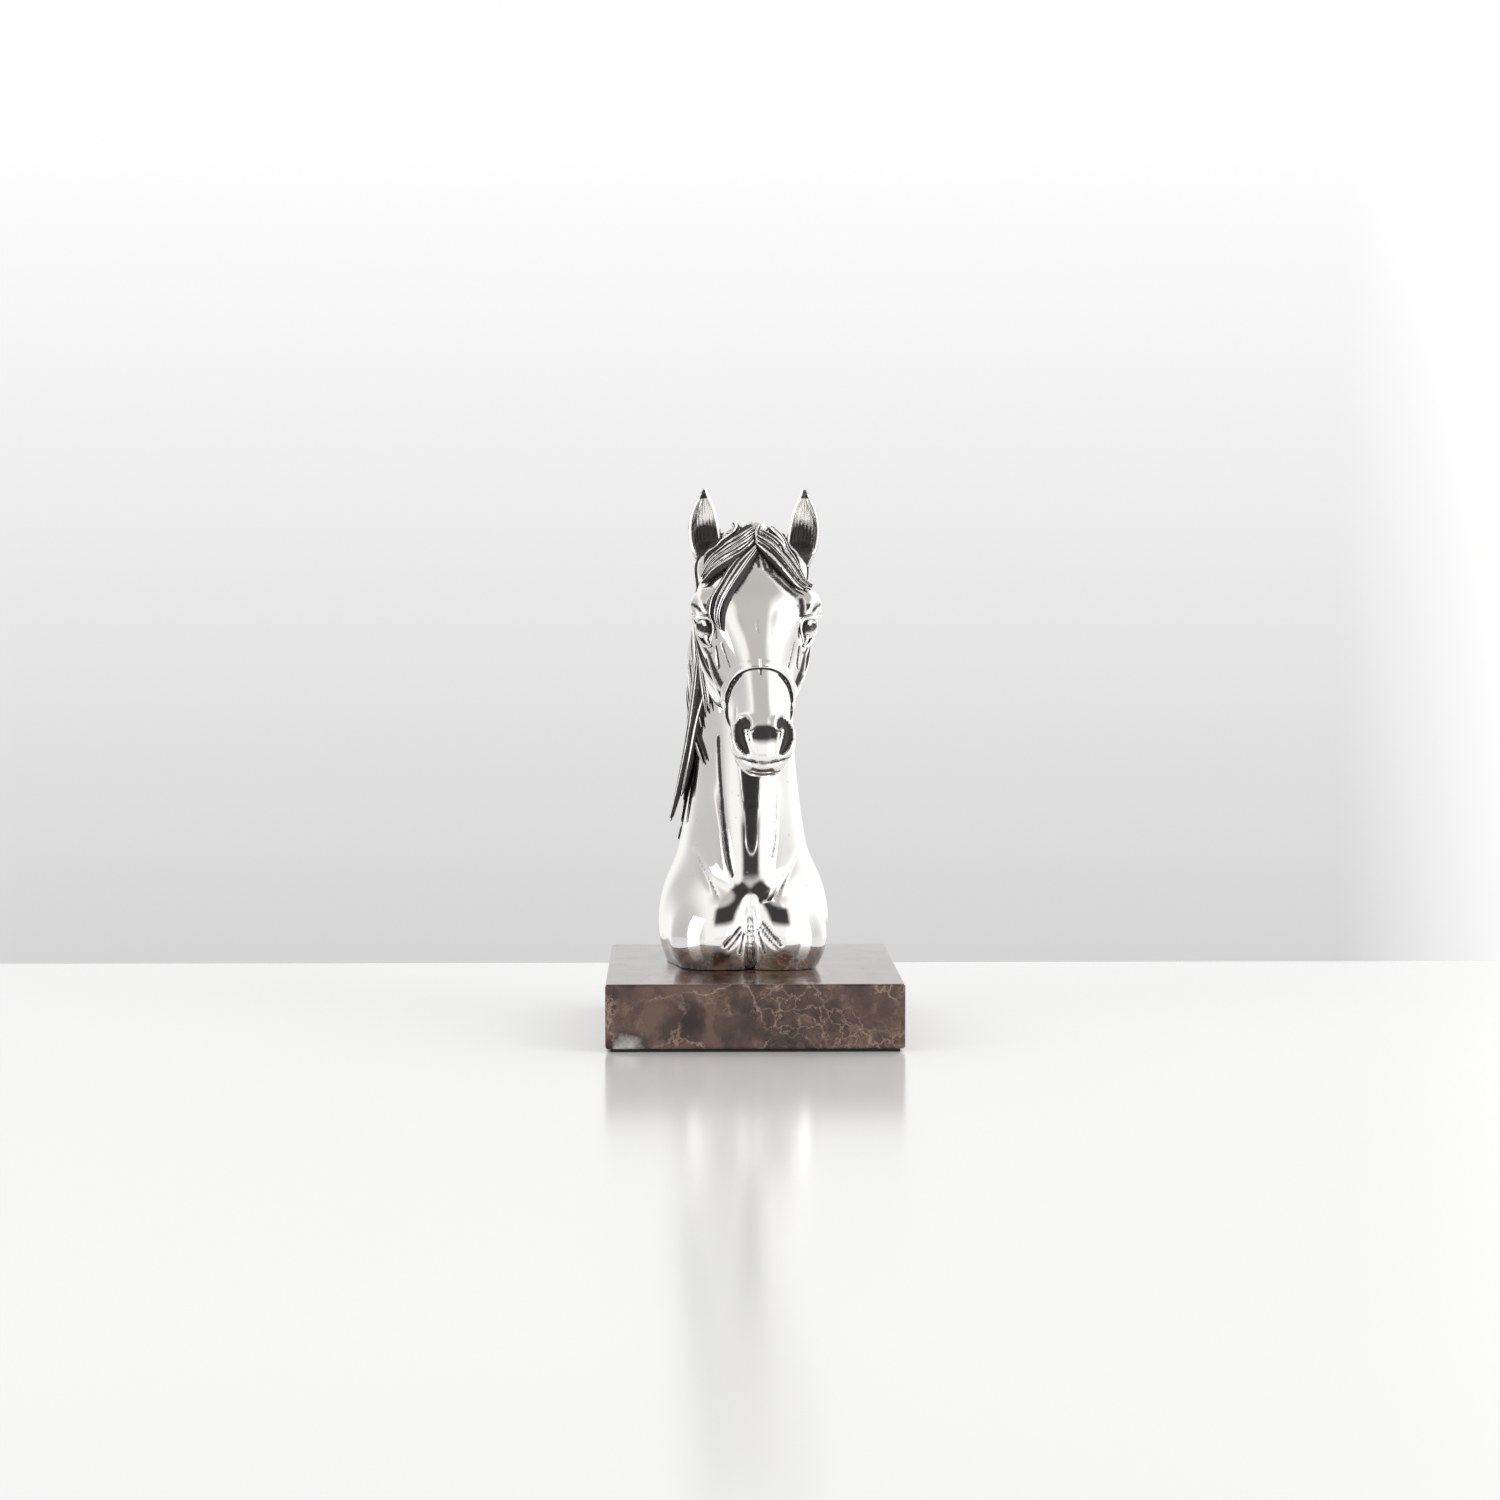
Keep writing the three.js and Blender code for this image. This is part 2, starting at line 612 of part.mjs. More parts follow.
// Nostrils: a comma-shaped hollow in each wing, [side, along, rise] with the hollow's radius in mm
const nostrilPath = [
  [0.052, 0.885, -0.020, 1.1],
  [0.062, 0.855, -0.022, 1.9],
  [0.079, 0.842, -0.034, 2.3],
  [0.090, 0.868, -0.032, 2.8],
  [0.088, 0.900, -0.035, 2.9],
  [0.080, 0.933, -0.045, 2.6],
  [0.068, 0.953, -0.058, 1.9],
  [0.056, 0.965, -0.071, 0.9],
];
const nostrilSink = 0.4;

function nostril(side) {
  const points = nostrilPath.map(([out, length, rise]) =>
    onSkin(fromHead(side * out, length, rise), -nostrilSink));
  const stops = nostrilPath.map((_, i) => i / (nostrilPath.length - 1));
  const radius = spline(stops, nostrilPath.map((stop) => stop[3]));
  const section = [0, 1, 2, 3, 4, 5].map((i) => [Math.cos(i * Math.PI / 3), Math.sin(i * Math.PI / 3)]);
  return carried(points, 12, section, radius);
}

// Mouth: a groove round the front of the muzzle, from corner to corner
const mouthPath = [
  [-0.10, 0.83, -0.15],
  [-0.088, 0.91, -0.12],
  [-0.063, 0.972, -0.095],
  [0, 0.992, -0.088],
  [0.063, 0.972, -0.095],
  [0.088, 0.91, -0.12],
  [0.10, 0.83, -0.15],
];
const mouthSection = [[0.8, 0], [0, 1.2], [-0.8, 0], [0, -1.2]];

function mouth() {
  const points = mouthPath.map(([out, length, rise]) => onSkin(fromHead(out, length, rise)));
  const narrowing = (share) => Math.min(1, 0.2 + 4 * share * (1 - share));
  return carried(points, 14, mouthSection, narrowing);
}

// The whole casting, joined piece by piece. The neck's first ring makes it flat underneath.
function horse() {
  const raised = [headSkin(), noseband(), ...forelock(), ...mane()];
  const cut = [mouth()];
  for (const side of [-1, 1]) {
    raised.push(ear(side), cheekStrap(side), ...eyeParts(side), ...cords(side));
    cut.push(nostril(side));
  }
  let solid = neckSkin();
  for (const piece of raised) solid = solid.add(piece);
  for (const piece of cut) solid = solid.subtract(piece);
  return filled(solid.simplify(meshTolerance));
}

// Pockets sealed in under the hair and straps are filled: only the outer skin is kept.
function filled(solid) {
  return solid.decompose().reduce((outer, shell) => (shell.volume() > outer.volume() ? shell : outer));
}

// A flat block with bevelled edges, standing on the given height.
function block(width, depth, thickness, bottom, bevel) {
  const outline = new THREE.Shape();
  const x = width / 2 - bevel;
  const y = depth / 2 - bevel;
  outline.moveTo(-x, -y).lineTo(x, -y).lineTo(x, y).lineTo(-x, y).closePath();
  const options = {
    depth: thickness - 2 * bevel,
    bevelEnabled: bevel > 0,
    bevelSize: bevel,
    bevelThickness: bevel,
    bevelSegments: 1,
  };
  return new THREE.ExtrudeGeometry(outline, options).translate(0, 0, bottom + bevel);
}

function named(name, geometry, material) {
  const mesh = new THREE.Mesh(geometry, material);
  mesh.name = name;
  return mesh;
}

const silver = new THREE.MeshStandardMaterial({ color: 0xdcdad6, roughness: 0.14, metalness: 1 });
const marble = new THREE.MeshStandardMaterial({ color: 0x4a352c, roughness: 0.12, metalness: 0 });
const felt = new THREE.MeshStandardMaterial({ color: 0x0c0b0b, roughness: 1, metalness: 0 });

const plinth = block(plinthWidth, plinthDepth, plinthThickness, plinthBottom, plinthChamfer);
const pad = block(plinthWidth - 2 * feltInset, plinthDepth - 2 * feltInset, feltThickness, 0, 0);

const statuette = new THREE.Group();
statuette.add(named("horse_bust", geometryOf(horse()), silver));
statuette.add(named("marble_plinth", plinth, marble));
statuette.add(named("felt_pad", pad, felt));

export default statuette;
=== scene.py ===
# %% [markdown]
# # A silvered horse head on a marble plinth
# The object is a cast horse head and neck with a polished silver skin, darkened in every
# groove, glued to a block of polished brown marble. The frame gives the sizes and places, and
# this lesson sculpts the skin, the ears, the hair and the halter over it. Sizes are worked out
# in millimetres, because the object is small, and turned to metres when a mesh is made.

# %% Load the frame
import math

import bmesh
import bpy
import numpy as np
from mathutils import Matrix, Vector
from mathutils.bvhtree import BVHTree


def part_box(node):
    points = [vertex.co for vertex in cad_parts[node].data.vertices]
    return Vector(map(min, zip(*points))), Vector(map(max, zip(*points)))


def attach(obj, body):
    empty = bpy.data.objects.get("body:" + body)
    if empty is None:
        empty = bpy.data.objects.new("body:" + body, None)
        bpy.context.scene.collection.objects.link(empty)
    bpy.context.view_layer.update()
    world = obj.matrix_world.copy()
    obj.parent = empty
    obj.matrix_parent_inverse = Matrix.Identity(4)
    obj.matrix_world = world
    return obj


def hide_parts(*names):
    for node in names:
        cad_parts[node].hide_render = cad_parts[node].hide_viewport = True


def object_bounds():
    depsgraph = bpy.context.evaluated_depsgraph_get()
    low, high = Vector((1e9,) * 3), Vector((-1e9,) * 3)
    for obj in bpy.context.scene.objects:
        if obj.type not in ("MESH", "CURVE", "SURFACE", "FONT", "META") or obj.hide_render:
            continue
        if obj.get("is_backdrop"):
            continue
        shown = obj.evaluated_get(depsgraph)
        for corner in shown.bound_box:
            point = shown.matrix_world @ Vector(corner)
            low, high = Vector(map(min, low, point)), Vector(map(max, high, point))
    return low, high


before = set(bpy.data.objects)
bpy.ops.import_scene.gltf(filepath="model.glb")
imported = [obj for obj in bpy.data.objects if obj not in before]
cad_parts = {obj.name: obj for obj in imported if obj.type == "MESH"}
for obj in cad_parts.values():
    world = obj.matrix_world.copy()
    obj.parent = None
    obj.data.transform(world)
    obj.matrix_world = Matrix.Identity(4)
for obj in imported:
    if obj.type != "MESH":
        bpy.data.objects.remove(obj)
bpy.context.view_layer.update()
horse_low, horse_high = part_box("horse_bust")
MM = 0.001
foot = horse_low.z / MM
print("horse stands at", round(foot, 2), "mm, its ears reach", round(horse_high.z / MM, 2))

# %% [markdown]
# ## The camera
# The object is seen from the front and a little above, from far away through a long lens, so
# its edges hardly converge. The camera comes first, so that each later piece can be looked at.

# %% Make the camera
focal_length = 92.61
camera_place = Vector((-0.030, -1.613, 0.1995))
tilt_down = 0.05116
pan_right = math.radians(1.04)

camera = bpy.data.objects.new("camera", bpy.data.cameras.new("camera"))
camera.data.lens = focal_length
camera.data.sensor_width = 36
camera.data.clip_start = 0.05
camera.data.clip_end = 50
camera.location = camera_place
camera.rotation_euler = (math.pi / 2 - tilt_down, 0, -pan_right)
bpy.context.scene.collection.objects.link(camera)
bpy.context.scene.camera = camera
print("camera", camera.data.lens, "mm, at", tuple(round(v, 3) for v in camera_place))

# %% [markdown]
# ## Smooth lines and rounded forms
# A sculptor blocks out an animal in simple masses and blends them. The same can be done with
# distance forms: a function that is negative inside a mass and positive outside it. Two forms
# are joined with a fillet, which gives the soft hollows that a polished casting shows.


# %% Smooth lines through stations
def smooth_line(places, values):
    """A natural cubic spline, held level beyond its ends."""
    places = np.asarray(places, float)
    values = np.asarray(values, float)
    count = len(places)
    gaps = np.diff(places)
    system = np.eye(count)
    target = np.zeros(count)
    for i in range(1, count - 1):
        system[i, i - 1 : i + 2] = gaps[i - 1], 2 * (gaps[i - 1] + gaps[i]), gaps[i]
        slopes = np.diff(values[i - 1 : i + 2]) / gaps[i - 1 : i + 1]
        target[i] = 6 * (slopes[1] - slopes[0])
    bends = np.linalg.solve(system, target)

    def value(place):
        place = np.clip(place, places[0], places[-1])
        i = np.clip(np.searchsorted(places, place) - 1, 0, count - 2)
        a = (places[i + 1] - place) / gaps[i]
        b = 1 - a
        sag = ((a**3 - a) * bends[i] + (b**3 - b) * bends[i + 1]) * gaps[i] ** 2 / 6
        return a * values[i] + b * values[i + 1] + sag

    return value


def through(points, steps):
    """Evenly spaced points on a smooth line through a few given ones."""
    points = np.asarray(points, float)
    travel = np.append(0, np.cumsum(np.linalg.norm(np.diff(points, axis=0), axis=1)))
    at = np.linspace(0, travel[-1], steps)
    return np.stack([smooth_line(travel, column)(at) for column in points.T], 1)


# %% Rounded forms and their blends
def blend(first, second, reach):
    """The nearer of two forms, with a fillet where they meet."""
    near = np.maximum(reach - np.abs(first - second), 0) / reach
    return np.minimum(first, second) - near * near * reach / 4


def rounded(p, centre, radii):
    """Distance, about, from an egg shape."""
    unit = (p - np.asarray(centre)) / radii
    k0 = np.linalg.norm(unit, axis=-1)
    k1 = np.linalg.norm(unit / radii, axis=-1)
    return k0 * (k0 - 1) / np.maximum(k1, 1e-9)


def ease(value, low, high):
    """0 below low, 1 above high, and smooth between."""
    t = np.clip((value - low) / (high - low), 0, 1)
    return t * t * (3 - 2 * t)


# %% [markdown]
# ## Neck and chest
# The neck is a stack of level sections, egg-shaped and a little narrower at the throat than at
# the crest. Two muscles bulge on each side of the chest, with a crease between them in front.

# %% Neck and chest
bust_height = 200.0
neck_middle = -4.1
chest_turn = math.tan(math.radians(3.5))
neck_shares = [0, 0.045, 0.09, 0.15, 0.22, 0.30, 0.38, 0.47, 0.56, 0.66, 0.77, 0.86, 0.93]
neck_front = smooth_line(
    neck_shares,
    [-0.112, -0.124, -0.128, -0.126, -0.105, -0.062, -0.004, 0.06, 0.112, 0.12, 0.095, 0.07, 0.06],
)
neck_back = smooth_line(
    neck_shares,
    [0.305, 0.322, 0.335, 0.348, 0.358, 0.365, 0.365, 0.357, 0.338, 0.30, 0.245, 0.185, 0.14],
)
neck_half = smooth_line(
    neck_shares,
    [0.148, 0.161, 0.165, 0.158, 0.139, 0.122, 0.110, 0.101, 0.098, 0.095, 0.085, 0.066, 0.05],
)
neck_taper = smooth_line(
    neck_shares,
    [-0.02, -0.04, -0.06, -0.08, -0.12, -0.18, -0.22, -0.24, -0.24, -0.24, -0.22, -0.2, -0.2],
)
neck_drift = smooth_line([0, 0.3, 0.55, 0.9], [0, 0.002, 0.01, 0.023])
mane_edge = smooth_line([0.2, 0.4, 0.55, 0.7, 0.9], [0.8, 0.3, 0.0, -0.25, -0.35])
neck_cap_start, neck_cap_length = 0.80, 0.10
mane_bulk = 4.2
mane_side_room = (-1, 7)
mane_height_room = (0.16, 0.46)
crease_depth, crease_width, crease_top = 2.2, 1.7, 0.16
chest_muscles = [
    ((0.062, -0.09, 0.06), (0.096, 0.078, 0.095), 8),
    ((0.101, 0.03, 0.085), (0.064, 0.12, 0.115), 12),
]


def neck_x(share):
    return neck_middle + neck_drift(share) * bust_height


def neck_y(share):
    return (neck_front(share) + neck_back(share)) / 2 * bust_height


def neck_form(p):
    share = (p[:, 2] - foot) / bust_height
    half_depth = (neck_back(share) - neck_front(share)) / 2 * bust_height
    m = (p[:, 1] - neck_y(share)) / half_depth
    half_width = neck_half(share) * bust_height * (1 + neck_taper(share) * np.clip(m, -1.2, 1.2))
    across = p[:, 0] - neck_x(share) + chest_turn * (p[:, 1] - neck_y(share))
    cap = np.maximum(0, (share - neck_cap_start) / neck_cap_length)
    reach = np.sqrt((across / half_width) ** 2 + m * m + cap * cap)
    front = ease(m, mane_edge(share), mane_edge(share) + 0.4)
    mane = mane_bulk * front * ease(-across, *mane_side_room) * ease(share, *mane_height_room)
    return (reach - 1) * np.minimum(half_width, half_depth) - mane


def chest_form(p):
    share = (p[:, 2] - foot) / bust_height
    across = p[:, 0] - neck_x(share) + chest_turn * (p[:, 1] - neck_y(share))
    folded = np.stack([np.abs(across) / bust_height, p[:, 1] / bust_height, share], 1)
    form = neck_form(p)
    for centre, radii, reach in chest_muscles:
        form = blend(form, rounded(folded, centre, radii) * bust_height, reach)
    in_front = ease(neck_y(share) - p[:, 1], 0, 20)
    crease = crease_depth * ease(crease_top - share, 0, 0.06)
    crease = crease * np.exp(-((across / crease_width) ** 2))
    return form + crease * in_front


# %% [markdown]
# ## Head
# The head has its own axes: side, along from poll to lips, and rise, out of the face. It is
# also built from sections, with the brows, cheeks, nostril wings and chin blended on.

# %% Head
head_length = 120.0
pitch = math.radians(45)
yaw = math.radians(2.7)
poll = np.array([neck_x(0.892), 0.09 * bust_height, foot + 0.892 * bust_height])
forward = np.array([math.sin(yaw), -math.cos(yaw), 0])
sideways = np.array([math.cos(yaw), math.sin(yaw), 0])
upright = np.array([0, 0, 1.0])
head_along = forward * math.sin(pitch) - upright * math.cos(pitch)
head_rise = forward * math.cos(pitch) + upright * math.sin(pitch)
head_axes = np.stack([sideways, head_along, head_rise])
head_shares = [-0.1, 0, 0.10, 0.22, 0.32, 0.42, 0.52, 0.62, 0.72, 0.82, 0.91, 1.0]
face_line = smooth_line(
    head_shares,
    [-0.07, -0.02, 0.018, 0.04, 0.042, 0.026, 0.008, -0.004, -0.010, -0.010, -0.018, -0.035],
)
jaw_line = smooth_line(
    head_shares,
    [-0.28, -0.33, -0.375, -0.405, -0.415, -0.395, -0.345, -0.29, -0.25, -0.235, -0.232, -0.205],
)
head_half = smooth_line(
    head_shares,
    [0.12, 0.148, 0.175, 0.195, 0.196, 0.176, 0.148, 0.122, 0.104, 0.100, 0.106, 0.10],
)
head_taper = smooth_line(
    head_shares, [0.1, 0.14, 0.2, 0.27, 0.30, 0.22, 0.06, -0.06, -0.1, -0.06, 0.04, 0.08]
)
head_square = smooth_line(
    head_shares, [2, 2, 2.2, 2.4, 2.5, 2.5, 2.45, 2.4, 2.35, 2.3, 2.3, 2.3]
)
muzzle_cap_start, muzzle_cap_length = 0.84, 0.16
skull_cap_start, skull_cap_length = 0.04, 0.095
hollow_fillet, throat_fillet = 3, 6
face_forms = {
    "brow": ((0.18, 0.32, -0.02), (0.048, 0.078, 0.046), 3.5),
    "cheek": ((0.098, 0.38, -0.235), (0.08, 0.17, 0.165), 3),
    "cheek bone": ((0.135, 0.50, -0.115), (0.03, 0.13, 0.022), 4),
    "nostril wing": ((0.068, 0.885, -0.085), (0.042, 0.07, 0.062), 3),
    "chin": ((0, 0.885, -0.205), (0.052, 0.055, 0.036), 2),
    "poll tuft": ((0, 0.015, -0.02), (0.11, 0.09, 0.055), 5),
    "ear root": ((0.142, 0.075, -0.085), (0.052, 0.07, 0.062), 4),
}
face_hollows = {
    "above the eye": ((0.235, 0.215, 0.0), (0.05, 0.055, 0.04)),
    "inner corner": ((0.185, 0.445, -0.03), (0.03, 0.06, 0.035)),
}


def from_head(shares):
    return poll + np.asarray(shares, float) @ head_axes * head_length


def to_head(p):
    return (p - poll) @ head_axes.T / head_length


def head_middle(length):
    return (face_line(length) + jaw_line(length)) / 2


def head_form(p):
    side, length, rise = to_head(p).T
    half_depth = (face_line(length) - jaw_line(length)) / 2
    m = (rise - head_middle(length)) / half_depth
    half_width = head_half(length) * (1 + head_taper(length) * np.clip(m, -1.2, 1.2))
    square = head_square(length)
    muzzle_cap = np.maximum(0, (length - muzzle_cap_start) / muzzle_cap_length)
    skull_cap = np.maximum(0, (skull_cap_start - length) / skull_cap_length)
    ring = np.abs(side / half_width) ** square + np.abs(m) ** square
    reach = (ring + muzzle_cap**square + skull_cap**square) ** (1 / square)
    form = (reach - 1) * np.minimum(half_width, half_depth) * head_length
    folded = np.stack([np.abs(side), length, rise], 1)
    for centre, radii, fillet in face_forms.values():
        form = blend(form, rounded(folded, centre, radii) * head_length, fillet)
    for centre, radii in face_hollows.values():
        form = -blend(-form, rounded(folded, centre, radii) * head_length, hollow_fillet)
    return form


def whole_form(p):
    return blend(chest_form(p), head_form(p), throat_fillet)


print("poll at", poll.round(1))


# %% [markdown]
# ## Points on the skin
# A rough point is carried to the skin by walking along the form's slope. Hair, straps and
# creases are all drawn with a few such points.


# %% Walk to the skin
least_slope = 0.2
longest_walk = 3
front_search = 70
side_search = 60


def measured(form, p, step=0.05):
    """A form's value at each point, which way it grows fastest, and how fast."""
    stack = np.concatenate([p, *(p + step * axis for axis in np.eye(3))])
    here, *ahead = form(stack).reshape(4, -1)
    vectors = np.stack(ahead, 1) / step - here[:, None] / step
    steepness = np.maximum(np.linalg.norm(vectors, axis=1), least_slope)
    return here, vectors / steepness[:, None], steepness


def onto(form, p, steps=8, close=0.004):
    """Walks points to where the form is zero, leaving out those that have arrived."""
    p = np.array(p, float)
    moving = np.arange(len(p))
    for _ in range(steps):
        here, out, steepness = measured(form, p[moving])
        move = np.clip(here / steepness, -longest_walk, longest_walk)
        p[moving] -= out * move[:, None]
        moving = moving[np.abs(move) > close]
        if not len(moving):
            break
    return p


def outward(points):
    return measured(whole_form, points, 1.0)[1]


def on_skin(points, lift=0.0):
    p = onto(whole_form, points, 12)
    return p + measured(whole_form, p)[1] * np.reshape(lift, (-1, 1))


def on_face(side, length, rise=None, lift=0.0):
    """Skin points given in shares of the head."""
    side, length = np.broadcast_arrays(np.asarray(side, float), length)
    rise = face_line(length) if rise is None else np.asarray(rise, float)
    return on_skin(from_head(np.stack([side, length, rise], 1)), lift)


def first_hit(form, start, direction, furthest):
    """The skin points straight out from some inside points."""
    inside = np.zeros(len(start))
    outside = np.full(len(start), float(furthest))
    for _ in range(24):
        middle = (inside + outside) / 2
        within = form(start + direction * middle[:, None]) < 0
        inside = np.where(within, middle, inside)
        outside = np.where(within, outside, middle)
    return start + direction * inside[:, None]


def front_of_neck(beside, height):
    """Skin points in front of the neck, in shares of the bust's height."""
    beside, height = np.asarray(beside, float), np.asarray(height, float)
    x = neck_x(height) + (beside + 0.15 * chest_turn) * bust_height
    start = np.stack([x, neck_y(height), foot + height * bust_height], 1)
    return first_hit(chest_form, start, np.array([0, -1.0, 0]), front_search)


def beside_neck(height, back):
    """Skin points on the horse's right side, in shares of the bust's height."""
    height, back = np.asarray(height, float), np.asarray(back, float)
    start = np.stack([neck_x(height), back * bust_height, foot + height * bust_height], 1)
    hits = first_hit(whole_form, start, np.array([-1.0, 0, 0]), side_search)
    free = whole_form(start) > 0
    return np.where(free[:, None], start, hits)


# %% [markdown]
# ## Folds and creases
# The casting shows fine folds: a fan over the breast, cords down the neck, wrinkles round the
# eyes, a seam down the forehead and the line of the mouth. Each is a line on the skin with a
# width, a depth, and the darkness of the film in it. A minus depth is a raised cord. The mesh
# is moved in or out along the line, and the line fades out towards both ends.

# %% Draw a fold
fold_lines = []
fold_spacing = 0.4
fold_fade = 0.28


def fold(points, width, depth, dark):
    length = np.linalg.norm(np.diff(points, axis=0), axis=1).sum()
    steps = max(24, int(length / fold_spacing))
    line = through(points, steps)
    travel = np.linspace(0, 1, steps)
    fade = ease(np.minimum(travel, 1 - travel), 0, fold_fade)
    fold_lines.append((line, width, depth * fade, dark))


def face_folds(*rows, ways=(1,)):
    """Folds through (side, length) or (side, length, rise) points, in shares of the head."""
    for path, width, depth, dark in rows:
        side, *rest = np.array(path).T
        for way in ways:
            fold(on_face(way * side, *rest), width, depth, dark)


def neck_folds(*rows, ways=(1,)):
    """Folds through (beside, height) points, in shares of the bust's height."""
    for path, width, depth, dark in rows:
        beside, height = np.array(path).T
        for way in ways:
            fold(front_of_neck(way * beside, height), width, depth, dark)


# %% Folds on both sides of the face
strap_path = np.array([
    (0.112, 0.665, -0.165), (0.156, 0.56, -0.18), (0.187, 0.46, -0.20), (0.203, 0.37, -0.21),
    (0.205, 0.27, -0.20), (0.19, 0.12, -0.13), (0.17, 0.04, -0.08),
])
above_strap = np.array([[0, -0.02, 0.068], [0.002, 0, 0.045], [0.003, 0.008, 0.03],
                        [0.003, 0.008, 0.026], [0.003, 0.008, 0.026]])
below_strap = -np.array([0.003, 0.008, 0.026])
face_folds(
    # Eye: the fold over the upper lid, two wrinkles under the lower one, and the tear line
    ([(0.145, 0.475, -0.035), (0.178, 0.41, 0.004), (0.2, 0.355, 0.004),
      (0.212, 0.31, -0.02)], 0.9, 1.0, 1.0),
    ([(0.162, 0.46, -0.06), (0.19, 0.42, -0.095), (0.2, 0.36, -0.105),
      (0.2, 0.31, -0.09)], 0.8, 0.7, 1.0),
    ([(0.15, 0.49, -0.07), (0.178, 0.45, -0.115), (0.192, 0.38, -0.135)], 0.8, 0.55, 1.0),
    ([(0.146, 0.47, -0.045), (0.14, 0.51, -0.07), (0.125, 0.56, -0.095)], 0.9, 0.6, 1.0),
    # Cheek: the groove along the cheek bone, the one below it and a fine one above it
    ([(0.195, 0.36, -0.13), (0.182, 0.42, -0.115), (0.168, 0.48, -0.10), (0.155, 0.54, -0.098),
      (0.135, 0.60, -0.10), (0.118, 0.638, -0.105)], 1.3, 0.7, 1.3),
    ([(0.18, 0.47, -0.15), (0.163, 0.53, -0.155), (0.135, 0.6, -0.16)], 1.5, 0.8, 0.6),
    ([(0.134, 0.47, -0.02), (0.128, 0.53, -0.03), (0.115, 0.61, -0.035)], 0.7, 0.35, 0.9),
    # Brow: the dark hollow above the inner corner of the eye
    ([(0.15, 0.31, 0.02), (0.156, 0.36, 0.015), (0.156, 0.41, 0.0)], 1.7, 0.3, 0.9),
    # Halter: grooves above and below the cheek strap, and one along the noseband's lower edge
    (strap_path[:5] + above_strap, 1.2, 0.7, 1.3),
    ([(0.06, 0.638, 0.0), (0.095, 0.65, -0.03), (0.108, 0.662, -0.08),
      (0.108, 0.675, -0.13)], 0.9, 0.5, 1.2),
    (strap_path[:5] + below_strap, 0.9, 0.5, 1.2),
    # Muzzle: wrinkles behind the nostril
    ([(0.104, 0.74, -0.06), (0.108, 0.80, -0.085), (0.104, 0.85, -0.11)], 1.1, 0.5, 0.5),
    ([(0.112, 0.74, -0.11), (0.108, 0.80, -0.13), (0.1, 0.86, -0.15)], 0.9, 0.45, 0.5),
    ways=(-1, 1),
)

# %% Folds across the mouth and down the forehead
face_folds(
    # Mouth: the line between the lips, the lower lip's edge and the chin's
    ([(-0.10, 0.83, -0.15), (-0.088, 0.91, -0.12), (-0.063, 0.972, -0.095), (0, 0.992, -0.088),
      (0.063, 0.972, -0.095), (0.088, 0.91, -0.12), (0.10, 0.83, -0.15)], 0.75, 1.1, 1.0),
    ([(-0.06, 0.955, -0.14), (-0.03, 0.985, -0.135), (0.03, 0.985, -0.135),
      (0.06, 0.955, -0.14)], 0.7, 0.4, 1.0),
    ([(-0.062, 0.945, -0.178), (0, 0.97, -0.178), (0.062, 0.945, -0.178)], 0.8, 0.55, 1.0),
    # Forehead: rough dark hair under the parting
    (np.linspace((-0.002, 0.08), (-0.012, 0.185), 4), 1.0, 0.4, 1.0),
    (np.linspace((0.012, 0.08), (0.014, 0.2), 4), 1.0, 0.4, 1.0),
    (np.linspace((0.028, 0.09), (0.038, 0.21), 4), 1.0, 0.4, 1.0),
    (np.linspace((0.042, 0.11), (0.062, 0.22), 4), 1.0, 0.4, 1.0),
    (np.linspace((0.055, 0.13), (0.09, 0.235), 4), 1.0, 0.4, 1.0),
    ([(0.02, 0.16), (0.06, 0.225), (0.10, 0.275), (0.14, 0.315), (0.17, 0.345)], 2.2, 0.18, 0.85),
    ([(0.01, 0.15), (-0.02, 0.21), (-0.05, 0.27), (-0.09, 0.35)], 1.4, 0.16, 0.75),
    # Forehead: the casting's seam, and the notch under the noseband
    ([(-0.002, 0.25), (-0.002, 0.52)], 0.7, 0.2, 0.8),
    ([(0.0, 0.625), (0.001, 0.66)], 0.45, 0.45, 1.0),
)

# %% Cords of the neck and folds of the breast
neck_folds(
    # A cord on each side with a groove along it, stronger on the horse's right
    ([(-0.078, 0.39), (-0.068, 0.33), (-0.054, 0.26), (-0.042, 0.2), (-0.024, 0.165)], 1.6, -0.8, 0),
    ([(-0.067, 0.50), (-0.062, 0.42), (-0.054, 0.334), (-0.043, 0.25), (-0.031, 0.195),
      (-0.018, 0.165)], 1.0, 0.6, 1.1),
    ([(0.070, 0.38), (0.066, 0.32), (0.062, 0.26), (0.052, 0.21), (0.032, 0.165)], 1.8, -0.5, 0),
    ([(0.062, 0.37), (0.059, 0.31), (0.055, 0.26), (0.045, 0.21)], 0.6, 0.3, 0.6),
)
neck_folds(
    # A second, lower cord on both sides with its groove
    ([(0.113, 0.25), (0.089, 0.198), (0.062, 0.148)], 1.6, -0.7, 0),
    ([(0.104, 0.235), (0.081, 0.187), (0.056, 0.14)], 0.7, 0.4, 0.7),
    ways=(-1, 1),
)
neck_folds(
    # The short folds that fan from the crease: three on the right, three on the left
    ([(-0.013, 0.094), (-0.032, 0.07), (-0.053, 0.046)], 0.8, 0.7, 1.0),
    ([(-0.010, 0.084), (-0.028, 0.058), (-0.046, 0.036)], 0.7, 0.5, 0.9),
    ([(-0.005, 0.084), (-0.012, 0.055), (-0.018, 0.028)], 0.8, 0.5, 0.9),
    ([(0.027, 0.105), (0.05, 0.075), (0.074, 0.046)], 0.8, 0.7, 1.0),
    ([(0.022, 0.096), (0.043, 0.066), (0.066, 0.038)], 0.7, 0.5, 0.9),
    ([(0.018, 0.092), (0.028, 0.06), (0.037, 0.028)], 0.8, 0.5, 0.9),
    # A fine line above them
    ([(0.02, 0.137), (0.04, 0.147), (0.062, 0.169)], 0.7, 0.3, 0.6),
)
